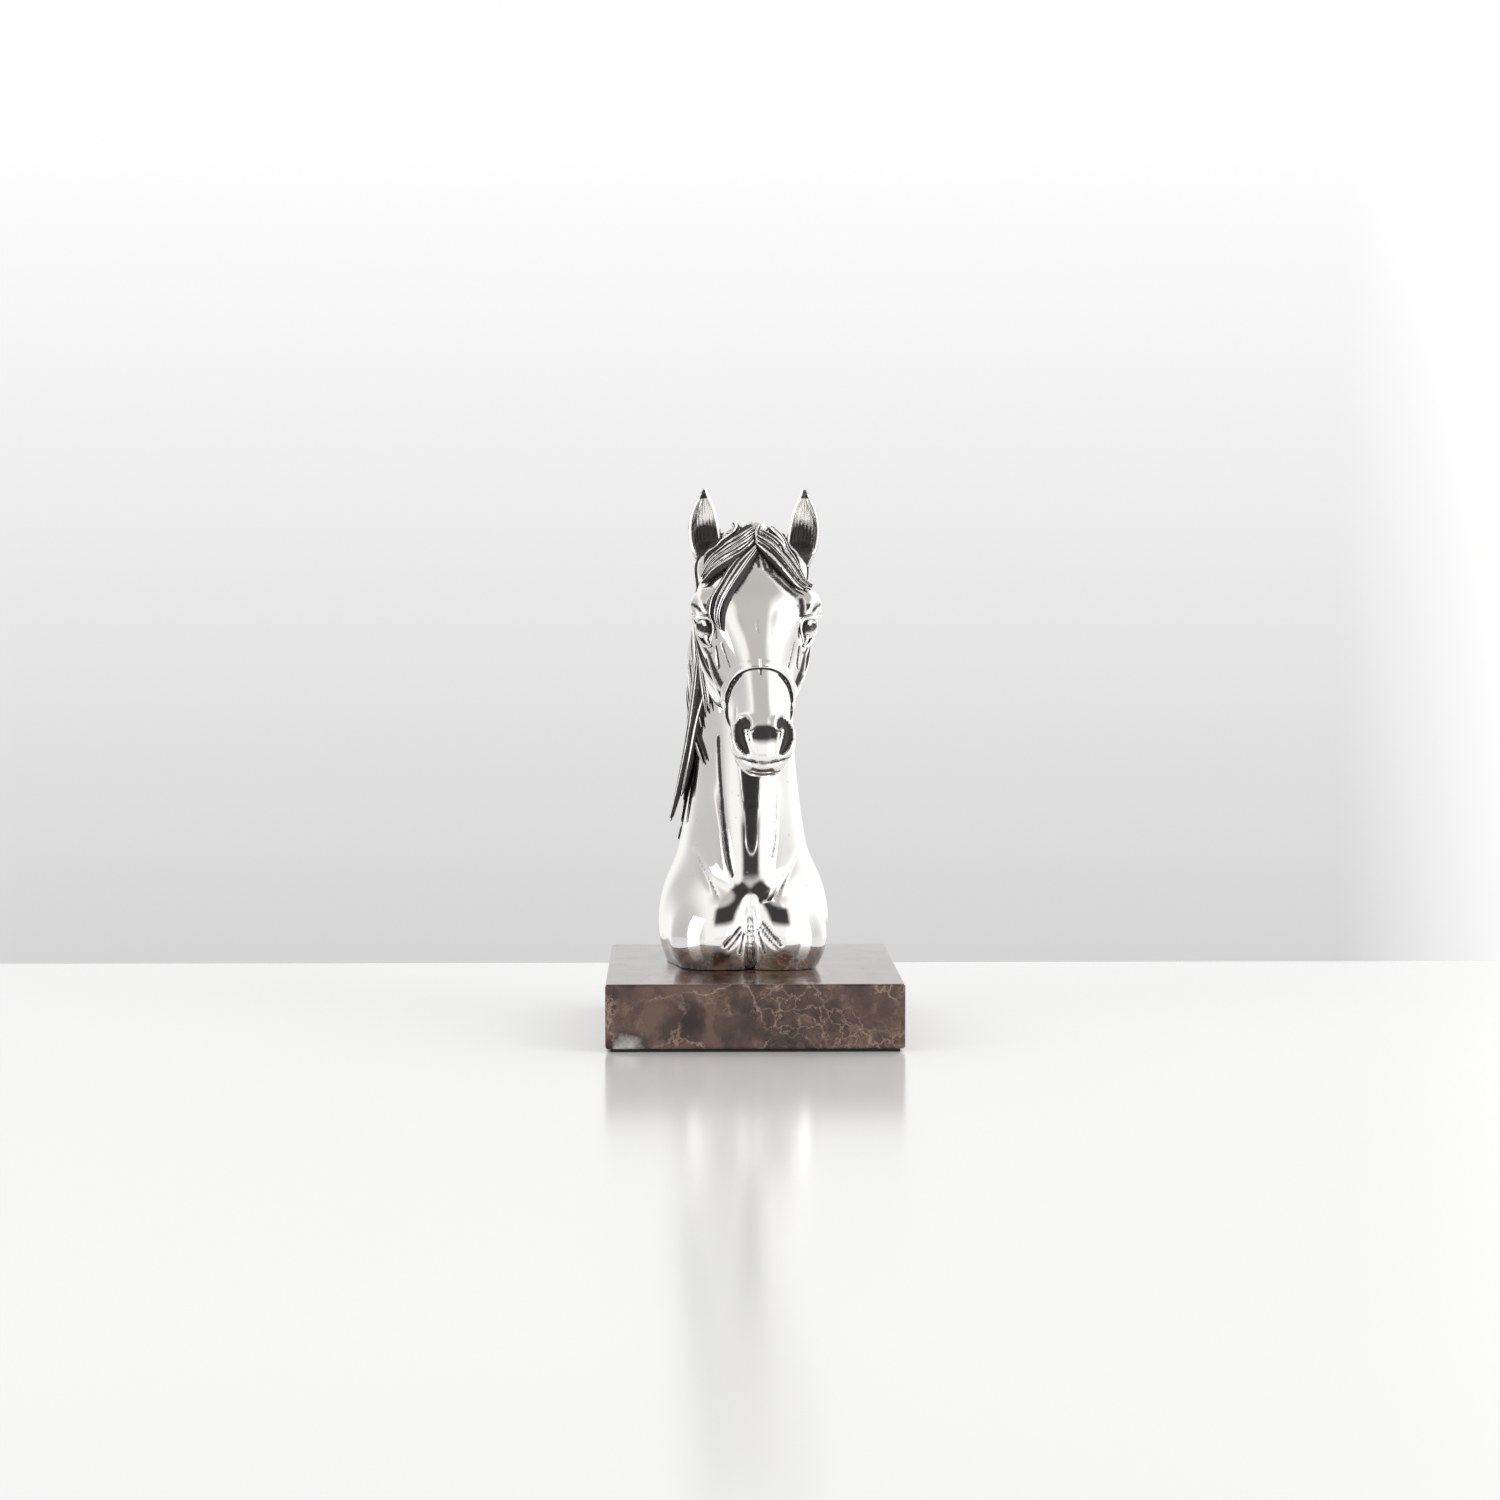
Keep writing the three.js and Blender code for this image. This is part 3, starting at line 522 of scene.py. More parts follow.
print(len(fold_lines), "fold lines")

# %% [markdown]
# ## Nostrils
# Each nostril is a comma-shaped hollow. A row of balls along the comma is taken out of the
# form before the skin is shaped, and its rim is raised a little, as a flared nostril has.

# %% Nostrils
nostril_stops = np.array([
    [0.052, 0.885, -0.020, 1.1], [0.062, 0.855, -0.022, 1.9], [0.079, 0.842, -0.034, 2.3],
    [0.090, 0.868, -0.032, 2.8], [0.088, 0.900, -0.035, 2.9], [0.080, 0.933, -0.045, 2.6],
    [0.068, 0.953, -0.058, 1.9], [0.056, 0.965, -0.071, 0.9],
])
nostril_scale = 0.9
nostril_rim_height, nostril_rim_gap, nostril_rim_width = 0.4, 0.9, 0.8
nostril_rows = []
for way in (-1, 1):
    sunk = on_face(way * nostril_stops[:, 0], nostril_stops[:, 1], nostril_stops[:, 2], -0.3)
    nostril_rows.append(through(np.column_stack([sunk, nostril_stops[:, 3] * nostril_scale]), 40))
nostril_row = np.concatenate(nostril_rows)


def nostril_distance(p):
    result = np.full(len(p), 50.0)
    close = to_head(p)[:, 1] > 0.7
    gaps = np.linalg.norm(p[close, None, :] - nostril_row[None, :, :3], axis=2)
    result[close] = (gaps - nostril_row[None, :, 3]).min(1)
    return result


def skin_form(p):
    """The whole form with the nostrils taken out."""
    return -blend(-whole_form(p), nostril_distance(p), 1.0)


# %% [markdown]
# ## The skin
# Balls of many sizes are stacked into a rough horse, and a voxel remesh welds them into one
# even skin. Its points are then carried onto the form. Remeshing again, finer, spreads the
# points evenly over what has been stretched. The folds are pressed in last.


# %% Helpers that make and read meshes
def to_object(name, bm):
    mesh = bpy.data.meshes.new(name)
    bm.to_mesh(mesh)
    bm.free()
    piece = bpy.data.objects.new(name, mesh)
    bpy.context.scene.collection.objects.link(piece)
    return piece


def points_of(mesh):
    flat = np.empty(len(mesh.vertices) * 3)
    mesh.vertices.foreach_get("co", flat)
    return flat.reshape(-1, 3) / MM


def move_points(mesh, points):
    mesh.vertices.foreach_set("co", (points * MM).ravel())
    mesh.update()


def remesh(piece, size):
    """Welds a piece into one skin of even squares."""
    change = piece.modifiers.new("weld", "REMESH")
    change.mode = "VOXEL"
    change.voxel_size = size * MM
    graph = bpy.context.evaluated_depsgraph_get()
    fresh = bpy.data.meshes.new_from_object(piece.evaluated_get(graph))
    piece.modifiers.clear()
    piece.data = fresh


# %% Block out the horse in balls
first_size = 1.5
finer_sizes = (1.1, 0.88)
stack_count, stack_scale = 24, 0.94
neck_ball_height, head_ball_length = 9.0, 7.0
muscle_scale, face_ball_scale = 0.97, 0.95
block = bmesh.new()


def add_ball(centre, radii, turned=np.eye(3)):
    made = bmesh.ops.create_icosphere(block, subdivisions=3, radius=1)
    for vert in made["verts"]:
        vert.co = Vector((centre + (np.array(vert.co) * radii) @ turned) * MM)


for share in np.linspace(-0.03, 0.84, stack_count):
    deep = (neck_back(share) - neck_front(share)) / 2 * bust_height
    wide = neck_half(share) * bust_height
    middle = np.array([neck_x(share), neck_y(share), foot + share * bust_height])
    add_ball(middle, np.array([wide, deep, neck_ball_height]) * stack_scale)
for length in np.linspace(0.03, 0.93, stack_count):
    deep = (face_line(length) - jaw_line(length)) / 2 * head_length
    wide = head_half(length) * head_length
    middle = from_head([0, length, head_middle(length)])
    add_ball(middle, np.array([wide, head_ball_length, deep]) * stack_scale, head_axes)
for way in (-1, 1):
    for centre, radii, _ in chest_muscles:
        beside, deep, high = np.array(centre) * bust_height
        x = neck_x(centre[2]) + way * beside - chest_turn * (deep - neck_y(centre[2]))
        middle = np.array([x, deep, foot + high])
        add_ball(middle, np.array(radii) * bust_height * muscle_scale)
    for name in ("brow", "cheek", "nostril wing", "ear root"):
        centre, radii, _ = face_forms[name]
        middle = from_head(np.array(centre) * [way, 1, 1])
        add_ball(middle, np.array(radii) * head_length * face_ball_scale, head_axes)
skin = to_object("horse_skin", block)
remesh(skin, first_size)
print("blocked out in", len(skin.data.vertices), "points")

# %% Carry the skin onto the form, finer each time
for size in finer_sizes:
    move_points(skin.data, onto(skin_form, points_of(skin.data), 6, 0.05))
    remesh(skin, size)
    print("skin at", size, "mm:", len(skin.data.vertices), "points")
skin_points = onto(skin_form, points_of(skin.data), 5)


# %% Press the folds in
least_dark_depth = 0.1
# Painted shade under the jaw: its darkness, the width of its band about the jaw line, and where it
# stops at the chin.
jaw_shade_strength, jaw_band, chin_end = 1.1, 0.07, 1.02


def fold_depth(points):
    """How deep the folds go at each point, and how dark they are."""
    depth = np.zeros(len(points))
    dark = np.zeros(len(points))
    for line, width, depths, darkness in fold_lines:
        reach = 3 * width
        near = np.all((points > line.min(0) - reach) & (points < line.max(0) + reach), axis=1)
        index = np.nonzero(near)[0]
        if not len(index):
            continue
        gaps = np.linalg.norm(points[index, None, :] - line[None], axis=2)
        best = gaps.argmin(1)
        closeness = np.exp(-((gaps[np.arange(len(index)), best] / width) ** 2))
        depth[index] += depths[best] * closeness
        dark[index] = np.maximum(dark[index],
                                 darkness * closeness * (depths[best] > least_dark_depth))
    return depth, dark


def painted_jaw_shade(points):
    """Painted shade under the jaw: a dark band along the jaw line, from the cheek to the chin."""
    side, length, rise = to_head(points).T
    above_line = rise - jaw_line(length)
    low = ease(jaw_band - above_line, 0, 0.05) * ease(above_line + jaw_band, 0, 0.05)
    return jaw_shade_strength * low * ease(length, 0.26, 0.52) * ease(chin_end - length, 0, 0.02)


skin_out = measured(skin_form, skin_points)[1]
skin_depth, skin_dark = fold_depth(skin_points)
nostril_gap = nostril_distance(skin_points)
rim_share = np.exp(-(((nostril_gap - nostril_rim_gap) / nostril_rim_width) ** 2))
skin_depth -= nostril_rim_height * rim_share
below_skin = -whole_form(skin_points)
nostril_dark = 1.3
skin_dark = np.maximum(skin_dark, nostril_dark * ease(below_skin, 0.2, 0.8))
# The painted shade under the jaw is added to the film of the folds and nostrils.
skin_dark = np.maximum(skin_dark, painted_jaw_shade(skin_points))
skin_points -= skin_out * skin_depth[:, None]
move_points(skin.data, skin_points)

shaped = bmesh.new()
shaped.from_mesh(skin.data)
layer = shaped.verts.layers.float.new("recess")
shaped.verts.ensure_lookup_table()
for vert, dark in zip(shaped.verts, skin_dark):
    vert[layer] = dark
cut = bmesh.ops.bisect_plane(
    shaped, geom=shaped.verts[:] + shaped.edges[:] + shaped.faces[:],
    plane_co=(0, 0, foot * MM), plane_no=(0, 0, -1), clear_outer=True,
)
rim = [e for e in cut["geom_cut"] if isinstance(e, bmesh.types.BMEdge)]
base = bmesh.ops.holes_fill(shaped, edges=rim, sides=0)["faces"]
for face in base:
    face.normal_update()
    if face.normal.z > 0:
        face.normal_flip()
shaped.to_mesh(skin.data)
shaped.free()
print("skin", len(skin.data.vertices), "points")


# %% [markdown]
# ## Shapes drawn out from a ball
# An ear, a lock of hair, a strap and an eyelid are all a closed skin that runs from one end to
# the other. Each starts as a bmesh ball, whose rings are spread along a path. Two numbers say
# where a point belongs: its share from end to end, and its share of the turn round the path.


# %% Draw a ball out along a path
balls = {}


def ball(rings, around):
    """A bmesh ball, kept for reuse, with where each of its points belongs."""
    if (rings, around) not in balls:
        bm = bmesh.new()
        bmesh.ops.create_uvsphere(bm, u_segments=around, v_segments=rings, radius=1)
        mesh = bpy.data.meshes.new("ball")
        bm.to_mesh(mesh)
        bm.free()
        x, y, z = points_of(mesh).T * MM
        t = np.round(np.arccos(np.clip(z, -1, 1)) / np.pi * rings) / rings
        turn = np.round(np.arctan2(y, x) / (2 * np.pi) * around) / around % 1
        balls[rings, around] = mesh, t, turn
    return balls[rings, around]


def draw_out(parts, rings, around, place, recess):
    """Adds a ball whose points go where place says, as dark as recess says."""
    mesh, t, turn = ball(rings, around)
    parts.append((mesh, place(t, turn), recess(t, turn)))


def joined(name, parts):
    """One object from many drawn-out balls."""
    bm = bmesh.new()
    for mesh, _, _ in parts:
        bm.from_mesh(mesh)
    piece = to_object(name, bm)
    move_points(piece.data, np.concatenate([points for _, points, _ in parts]))
    mark = piece.data.attributes.new("recess", "FLOAT", "POINT")
    mark.data.foreach_set("value", np.concatenate([marks for _, _, marks in parts]))
    print(name, len(parts), "parts,", len(piece.data.vertices), "points")
    return piece


def frame_along(line, out):
    """Side and up directions for each point of a line on the skin."""
    tangent = np.gradient(line, axis=0)
    tangent /= np.linalg.norm(tangent, axis=1)[:, None]
    side = np.cross(tangent, out)
    side /= np.linalg.norm(side, axis=1)[:, None]
    window = np.ones(7) / 7
    for column in range(3):
        side[:, column] = np.convolve(np.pad(side[:, column], 3, "edge"), window, "valid")
    side /= np.linalg.norm(side, axis=1)[:, None]
    return tangent, side, np.cross(side, tangent)


def draw_section(parts, line, section, size, recess, around, out=None):
    """Carries a closed section along a line. The section takes angles and gives side and up."""
    rings = len(line) + 1
    tangent, side, up = frame_along(line, outward(line) if out is None else out)
    rounded_end = 0.3

    def row_of(t):
        return np.clip(np.round(t * rings).astype(int) - 1, 0, len(line) - 1)

    def place(t, turn):
        row = row_of(t)
        share = row / (len(line) - 1)
        wide, high = section(2 * np.pi * turn, share)
        ends = np.where(t == 0, -1.0, np.where(t == 1, 1.0, 0))
        scale = np.where(ends == 0, size(share), 0)
        points = line[row] + side[row] * (wide * scale)[:, None]
        points = points + up[row] * (high * scale)[:, None]
        return points + tangent[row] * (rounded_end * ends)[:, None]

    def marks(t, turn):
        return recess(2 * np.pi * turn, row_of(t) / (len(line) - 1))

    draw_out(parts, rings, around, place, marks)


# %% [markdown]
# ## Ears
# The ears are thin leaves, rolled into a cup that opens forward, with a sharp bright rim, a
# dark inside with fine hairs, and a solid pointed tip.
# Just under the tip, the inside of the cup has a painted fold shadow.

# %% Ears
ear_length = 0.175 * bust_height
ear_half = smooth_line(
    [0, 0.15, 0.35, 0.55, 0.75, 0.9, 1], [0.13, 0.175, 0.20, 0.188, 0.135, 0.062, 0.012]
)
ear_wall = 1.3
ear_hairs = 22
ear_turn = math.radians(12)
ear_apart, ear_spread = 18, 0.09
ear_inside_dark, ear_tip_painted_shadow = 1.15, 0.8


def make_ear(name, way):
    root = poll + np.array([way * ear_apart + 1, 2, -14])
    up = np.array([way * ear_spread, -0.1, 1])
    up /= np.linalg.norm(up)
    facing = np.array([way * math.sin(ear_turn), -math.cos(ear_turn), 0])
    across = np.cross(facing, up)
    across /= np.linalg.norm(across)
    front = np.cross(up, across)

    def place(t, turn):
        half = ear_half(t) * ear_length
        bow = 0.05 * ear_length * np.sin(np.pi * t)
        spine = root + t[:, None] * ear_length * up
        centre = spine - way * bow[:, None] * across
        cup = ease(t, 0.16, 0.36) * ease(0.97 - t, 0, 0.12)
        behind = turn < 0.5
        angle = 2 * np.pi * np.where(behind, turn, 1 - turn)
        wall = np.where(behind, 0, np.minimum(ear_wall, 0.45 * half))
        full = half * 0.95
        inner = -0.35 * half * (1 - cup) + (full - wall) * cup
        depth = np.where(behind, full, inner)
        rows = np.sin(angle) ** 2
        hairs = 0.22 * np.sin(ear_hairs * angle + 5 * t) * rows * cup * ease(0.9 - t, 0, 0.3)
        depth = depth + np.where(behind, 0, hairs)
        rim = (half - wall) * np.cos(angle)
        points = centre + rim[:, None] * across - (depth * np.sin(angle))[:, None] * front
        tip = (t == 0) | (t == 1)
        return np.where(tip[:, None], spine, points)

    def dark(t, turn):
        inside = turn > 0.5
        angle = 2 * np.pi * (1 - turn)
        deep = np.abs(np.sin(angle)) ** 0.6
        lower = ease(0.72 - t, 0, 0.3)
        hairs = 0.15 * np.sin(ear_hairs * angle + 5 * t)
        # A painted fold shadow in a band just under the tip, inside the cup.
        cap = ease(t, 0.85, 0.88) * ease(0.995 - t, 0, 0.02)
        shade = deep * lower * (ear_inside_dark + hairs) + ear_tip_painted_shadow * cap
        return np.where(inside, np.clip(shade, 0, 1.2), 0)

    parts = []
    draw_out(parts, 90, 96, place, dark)
    return joined(name, parts)


right_ear = make_ear("right_ear", -1)
left_ear = make_ear("left_ear", 1)

# %% [markdown]
# ## Forelock
# The forelock is combed from a parting between the ears: one bundle sweeps to each side, a
# long one falls beside the right eye, and short hair lies over the poll. A bundle lies between
# two edge lines. Its strands are laid side by side between them, and each one is fluted along
# its length like drawn clay. Every third strand is sunk a little and keeps more of the film.


# %% Strands of hair
strand_taper = smooth_line([0, 0.2, 0.55, 0.82, 1], [0.4, 0.95, 1.0, 0.66, 0.22])
strand_around = 26
sunk_depth, sunk_black = 0.5, 0.6


def strand(parts, line, half, rise, seed, out, black):
    """One strand: a flat lens with flutes cut along its top."""
    def flutes(angle, share):
        return np.cos(4 * angle + seed + 1.5 * share), ease(np.sin(angle), 0.0, 0.5)

    def section(angle, share):
        ripple, on_top = flutes(angle, share)
        swell = 1 + 0.16 * ripple * on_top
        return half * np.cos(angle) * swell, rise * np.sin(angle) * swell - 0.15 * rise

    def dark(angle, share):
        ripple, on_top = flutes(angle, share)
        return np.clip(1 - on_top + ease(-ripple, 0.05, 0.7) + black, 0, 1.2)

    draw_section(parts, line, section, strand_taper, dark, strand_around, out)


def lay_strands(parts, roughs, lifts, steps, half, rise, seed):
    """Lays many strands on the skin at once. The roughs are a few points for each."""
    counts = np.cumsum([len(rough) for rough in roughs])[:-1]
    placed = on_skin(np.concatenate(roughs), np.concatenate(lifts))
    lines = [through(points, steps) for points in np.split(placed, counts)]
    outs = outward(np.concatenate(lines)).reshape(len(lines), steps, 3)
    for i, (line, out) in enumerate(zip(lines, outs)):
        swell = 1 + 0.18 * math.sin(2.4 * i + seed)
        sunk = float(i % 3 == 1)
        line = line - out * (sunk_depth * sunk)
        strand(parts, line, half * swell, rise, 1.7 * i + seed, out, sunk_black * sunk)


def combed(first_edge, second_edge, count, seed, wave=0.35, samples=60):
    """Paths that lie between two edges, each with its own slight wave."""
    rng = np.random.default_rng(seed)
    first = through(first_edge, samples)
    second = through(second_edge, samples)
    share = np.linspace(0, 1, samples)
    paths = []
    for i in range(count):
        between = (i + 0.5) / count
        swing = rng.uniform(-wave, wave) / count * np.sin(np.pi * share * rng.uniform(0.8, 1.6))
        mix = (between + swing)[:, None]
        end = samples - rng.integers(0, 8)
        paths.append((first * (1 - mix) + second * mix)[:end])
    return paths


# %% Forelock: each bundle has two edges, a count, a half width, a rise, a lift and a seed
forelock_parts = []


def face_bundle(first, second, count, half, rise, lift, seed, uneven=0.35):
    roughs, lifts = [], []
    for i, path in enumerate(combed(first, second, count, seed)):
        path = path[::5]
        side, length = path.T
        roughs.append(from_head(np.stack([side, length, face_line(length)], 1)))
        lifts.append(lift * np.linspace(0.35, 1, len(path)) + uneven * ((i * 7) % 3))
    lay_strands(forelock_parts, roughs, lifts, 46, half, rise, seed)


for bundle in (
    ([(-0.004, -0.02), (-0.08, 0.025), (-0.15, 0.05), (-0.205, 0.10), (-0.245, 0.16)],
     [(0.0, 0.06), (-0.07, 0.15), (-0.125, 0.19), (-0.17, 0.212), (-0.213, 0.238)],
     8, 1.5, 1.6, 2.0, 11),
    ([(-0.004, 0.06), (-0.08, 0.165), (-0.126, 0.255), (-0.164, 0.335), (-0.172, 0.40), (-0.158, 0.47)],
     [(0.018, 0.09), (-0.015, 0.18), (-0.06, 0.27), (-0.102, 0.35), (-0.124, 0.42), (-0.134, 0.49)],
     5, 1.35, 1.5, 0.9, 23),
    ([(0.03, -0.03), (0.11, 0.0), (0.17, 0.065), (0.205, 0.145), (0.228, 0.255)],
     [(0.008, 0.07), (0.04, 0.12), (0.08, 0.195), (0.122, 0.258), (0.174, 0.315)],
     9, 1.45, 1.6, 1.1, 37),
    ([(-0.14, 0.005), (-0.125, 0.035), (-0.105, 0.07), (-0.09, 0.115)],
     [(0.14, 0.0), (0.125, 0.03), (0.105, 0.06), (0.09, 0.105)],
     15, 1.3, 0.8, 0.0, 63, 0.1),
):
    face_bundle(*bundle)
forelock = joined("forelock", forelock_parts)

# %% [markdown]
# ## Mane
# The mane is rooted along the crest and falls over the horse's right side. Strands overlap
# from the withers up to the poll, and a few longer locks hang forward past the neck's outline.
# Short locks lie across the crest and cover the roots.

# %% Mane
mane_parts = []
mane_rng = np.random.default_rng(5)


top_at_poll, top_at_withers = 0.875, 0.40
drop_at_poll, drop_at_withers = 0.45, 0.16


def mane_line(root, sway):
    top = top_at_poll + (top_at_withers - top_at_poll) * root
    drop = drop_at_poll + (drop_at_withers - drop_at_poll) * root
    share = np.linspace(0, 1, 7)
    height = top - drop * share**1.12
    forward_share = (0.64 + (0.3 - 0.64) * root + sway) * np.sin(share * np.pi / 2)
    back = neck_back(height) - 0.003
    return height, back + (neck_front(height) - back) * forward_share


def falling_locks(count, sway_from, sway_to, lift, half, rise, steps):
    """Locks rooted along the crest, from the poll down."""
    heights, backs, lifts = [], [], []
    for root in np.linspace(0, 1, count):
        height, back = mane_line(root, mane_rng.uniform(sway_from, sway_to))
        heights.append(height)
        backs.append(back)
        lifts.append(lift + mane_rng.uniform(0, 0.8))
    places = beside_neck(np.concatenate(heights), np.concatenate(backs))
    lay_strands(mane_parts, np.split(places, count), lifts, steps, half, rise, count)


# An even lower layer, then fewer locks above it that hang further back
falling_locks(40, -0.05, 0.05, np.linspace(-0.2, 1.0, 7), 2.4, 1.7, 44)
falling_locks(16, -0.28, -0.15, 1.2 + np.linspace(-0.4, 0.9, 7), 1.9, 1.5, 44)


def neck_bundle(first, second, count, half, rise, lift, seed):
    paths = [path[::6] for path in combed(first, second, count, seed)]
    lifts = [lift * np.linspace(0.2, 1, len(path)) ** 1.5 + 0.4 * (i % 2)
             for i, path in enumerate(paths)]
    roughs = [beside_neck(*path.T) for path in paths]
    lay_strands(mane_parts, roughs, lifts, 56, half, rise, seed)


for bundle in (
    ([(0.90, 0.13), (0.84, 0.19), (0.76, 0.2), (0.66, 0.2), (0.55, 0.2)],
     [(0.89, 0.085), (0.81, 0.12), (0.73, 0.135), (0.64, 0.14), (0.57, 0.14)],
     8, 1.9, 1.6, 0.7, 101),
    ([(0.70, 0.23), (0.56, 0.235), (0.42, 0.20), (0.32, 0.165), (0.245, 0.135)],
     [(0.68, 0.17), (0.54, 0.17), (0.42, 0.145), (0.33, 0.125), (0.26, 0.11)],
     5, 1.7, 1.6, 5.4, 71),
    ([(0.60, 0.19), (0.50, 0.18), (0.42, 0.15), (0.36, 0.125), (0.315, 0.11)],
     [(0.57, 0.15), (0.48, 0.14), (0.41, 0.12), (0.36, 0.10), (0.33, 0.09)],
     3, 1.5, 1.4, 3.2, 83),
    ([(0.66, 0.22), (0.57, 0.205), (0.525, 0.175), (0.47, 0.12)],
     [(0.68, 0.165), (0.59, 0.15), (0.54, 0.13), (0.50, 0.105)],
     4, 1.5, 1.4, 1.0, 91),
    ([(0.56, 0.24), (0.505, 0.22), (0.46, 0.165), (0.425, 0.10), (0.398, 0.06)],
     [(0.575, 0.22), (0.52, 0.20), (0.475, 0.145), (0.44, 0.09), (0.41, 0.055)],
     2, 1.4, 1.3, 0.8, 97),
):
    neck_bundle(*bundle)
mane = joined("mane", mane_parts)

# %% Short locks over the crest
crest_parts = []
crest_across = np.array([6.0, 2.0, -3.0, -8.0, -12.0])
crest_back = np.array([-3.0, 1.0, 0.0, -3.0, -7.0])
crest_drop = np.array([3.0, 0.0, -4.0, -10.0, -17.0])
crest_roughs = []
crest_top, crest_end, crest_count = 0.885, 0.40, 36
for height in np.linspace(crest_top, crest_end, crest_count):
    crest_roughs.append(np.stack([
        neck_x(height) + crest_across, neck_back(height) * bust_height + crest_back,
        foot + height * bust_height + crest_drop], 1))
crest_lifts = [np.array([-0.5, 0.2, 0.7, 1.0, 1.2])] * len(crest_roughs)
lay_strands(crest_parts, crest_roughs, crest_lifts, 26, 2.3, 1.3, 7)
crest = joined("mane_crest", crest_parts)

# %% [markdown]
# ## Halter
# The noseband and the cheek straps are flat leather straps in the casting. Each is a flat
# section with rounded edges, carried over the skin. A ring joins them on each side.


# %% Halter
def flat_section(half, rise, sink):
    def section(angle, share):
        c, s = np.cos(angle), np.sin(angle)
        wide = np.sign(c) * np.abs(c) ** 0.35 * half
        high = np.sign(s) * np.abs(s) ** 0.35 * np.where(s > 0, rise, sink)
        return wide, high
    return section


# Dark on the strap's sides and underside, bright on top: tarnish in the crease where it meets the skin,
# and a painted shadow along both edges.
def strap_edge_film_and_shadow(angle, share):
    return 1.2 * ease(0.55 - np.sin(angle), 0, 0.45)


def steady(share):
    return np.ones_like(share)


def bright(angle, share):
    return np.zeros_like(angle)


def round_section(angle, share):
    return ring_wire * np.cos(angle), ring_wire * np.sin(angle)


halter_parts = []
band_half, strap_half, strap_rise, strap_sink = 2.3, 1.5, 1.1, 1.2
ring_radius, ring_wire = 2.6, 0.75
ring_turns = np.linspace(0, 2 * np.pi, 40)
turns = np.linspace(0, 2 * np.pi, 120)
band_length = 0.612 + 0.08 * (1 - np.cos(turns)) / 2
band_start = from_head(np.stack([0 * turns, band_length, head_middle(band_length)], 1))
band_out = np.sin(turns)[:, None] * sideways + np.cos(turns)[:, None] * head_rise
band_line = first_hit(head_form, band_start, band_out, 60)
draw_section(halter_parts, band_line, flat_section(band_half, strap_rise, strap_sink),
             steady, strap_edge_film_and_shadow, 20)
for way in (-1, 1):
    places = on_face(way * strap_path[:, 0], strap_path[:, 1], strap_path[:, 2])
    strap_line = on_skin(through(places, 90))
    draw_section(halter_parts, strap_line, flat_section(strap_half, strap_rise, strap_sink),
                 steady, strap_edge_film_and_shadow, 20)
    middle = on_face([way * 0.116], [0.655], [-0.155], 0.5)[0]
    out = outward(middle[None])[0]
    first_side = np.cross(out, head_along)
    first_side /= np.linalg.norm(first_side)
    second_side = np.cross(out, first_side)
    ring_line = middle + ring_radius * (np.cos(ring_turns)[:, None] * first_side
                                        + np.sin(ring_turns)[:, None] * second_side)
    draw_section(halter_parts, ring_line, round_section, steady, bright, 12)
halter = joined("halter", halter_parts)

# %% [markdown]
# ## Eyes
# A polished ball sits between two thick lids. The lids are drawn like the straps, round in
# section, from the inner corner of the eye to the outer one.

# %% Eyes
eye_parts = []
eye_at = np.array([0.186, 0.385, -0.062])
eye_set_in = 0.012
under_lid_dark, lid_black = 0.8, 0.9
eye_radius = 0.038 * head_length
lid_half, lid_sunk = 0.95, 0.3
lid_paths = [
    ([(0.09, 0.006), (0.05, 0.026), (0.015, 0.034), (-0.03, 0.024), (-0.07, -0.014)], 0.5, 1.0),
    ([(0.085, -0.002), (0.035, -0.042), (-0.02, -0.046), (-0.065, -0.02)], 0.25, 0.85),
    ([(0.08, 0.025), (0.045, 0.05), (0.01, 0.056), (-0.035, 0.045), (-0.08, 0.0)], 0.2, 0.75),
]


def eye_direction(t, turn):
    return np.stack([np.sin(np.pi * t) * np.cos(2 * np.pi * turn),
                     np.sin(np.pi * t) * np.sin(2 * np.pi * turn), np.cos(np.pi * t)], 1)


def under_lid(t, turn):
    """The upper half of the eyeball lies in the upper lid's shade."""
    return under_lid_dark * ease(eye_direction(t, turn) @ head_rise, 0.05, 0.5)


def lid_section(angle, share):
    return lid_half * np.cos(angle), lid_half * np.sin(angle) - lid_sunk


def lid_dark(angle, share):
    return lid_black * ease(-np.sin(angle), -0.4, 0.5)


for way in (-1, 1):
    eye_middle = from_head(eye_at * np.array([way, 1, 1]) - np.array([way * eye_set_in, 0, 0]))
    draw_out(eye_parts, 32, 48, lambda t, turn: eye_middle + eye_radius * eye_direction(t, turn),
             under_lid)
    for path, lift, size in lid_paths:
        offsets = np.array(path)
        rough = from_head(np.column_stack([
            np.full(len(offsets), way * eye_at[0]), eye_at[1] + offsets[:, 0],
            eye_at[2] + offsets[:, 1]]))
        lid_taper = smooth_line([0, 0.2, 0.8, 1], [0.3 * size, size, size, 0.3 * size])
        draw_section(eye_parts, through(on_skin(rough, lift), 50), lid_section, lid_taper,
                     lid_dark, 16)
eyes = joined("eyes", eye_parts)

# %% [markdown]
# ## Dark recesses
# On real silver the polish reaches only what stands out, and a black film stays in whatever is
# hidden. The share of short rays that hit the casting again tells how hidden a point is. It is
# kept on the mesh as the attribute "recess", together with the darkness of folds and flutes.
# Painted shade rides in the same attribute: under the jaw, along the strap edges, just under the ear
# tips, and on the eyeball's upper half in the lid's shade.

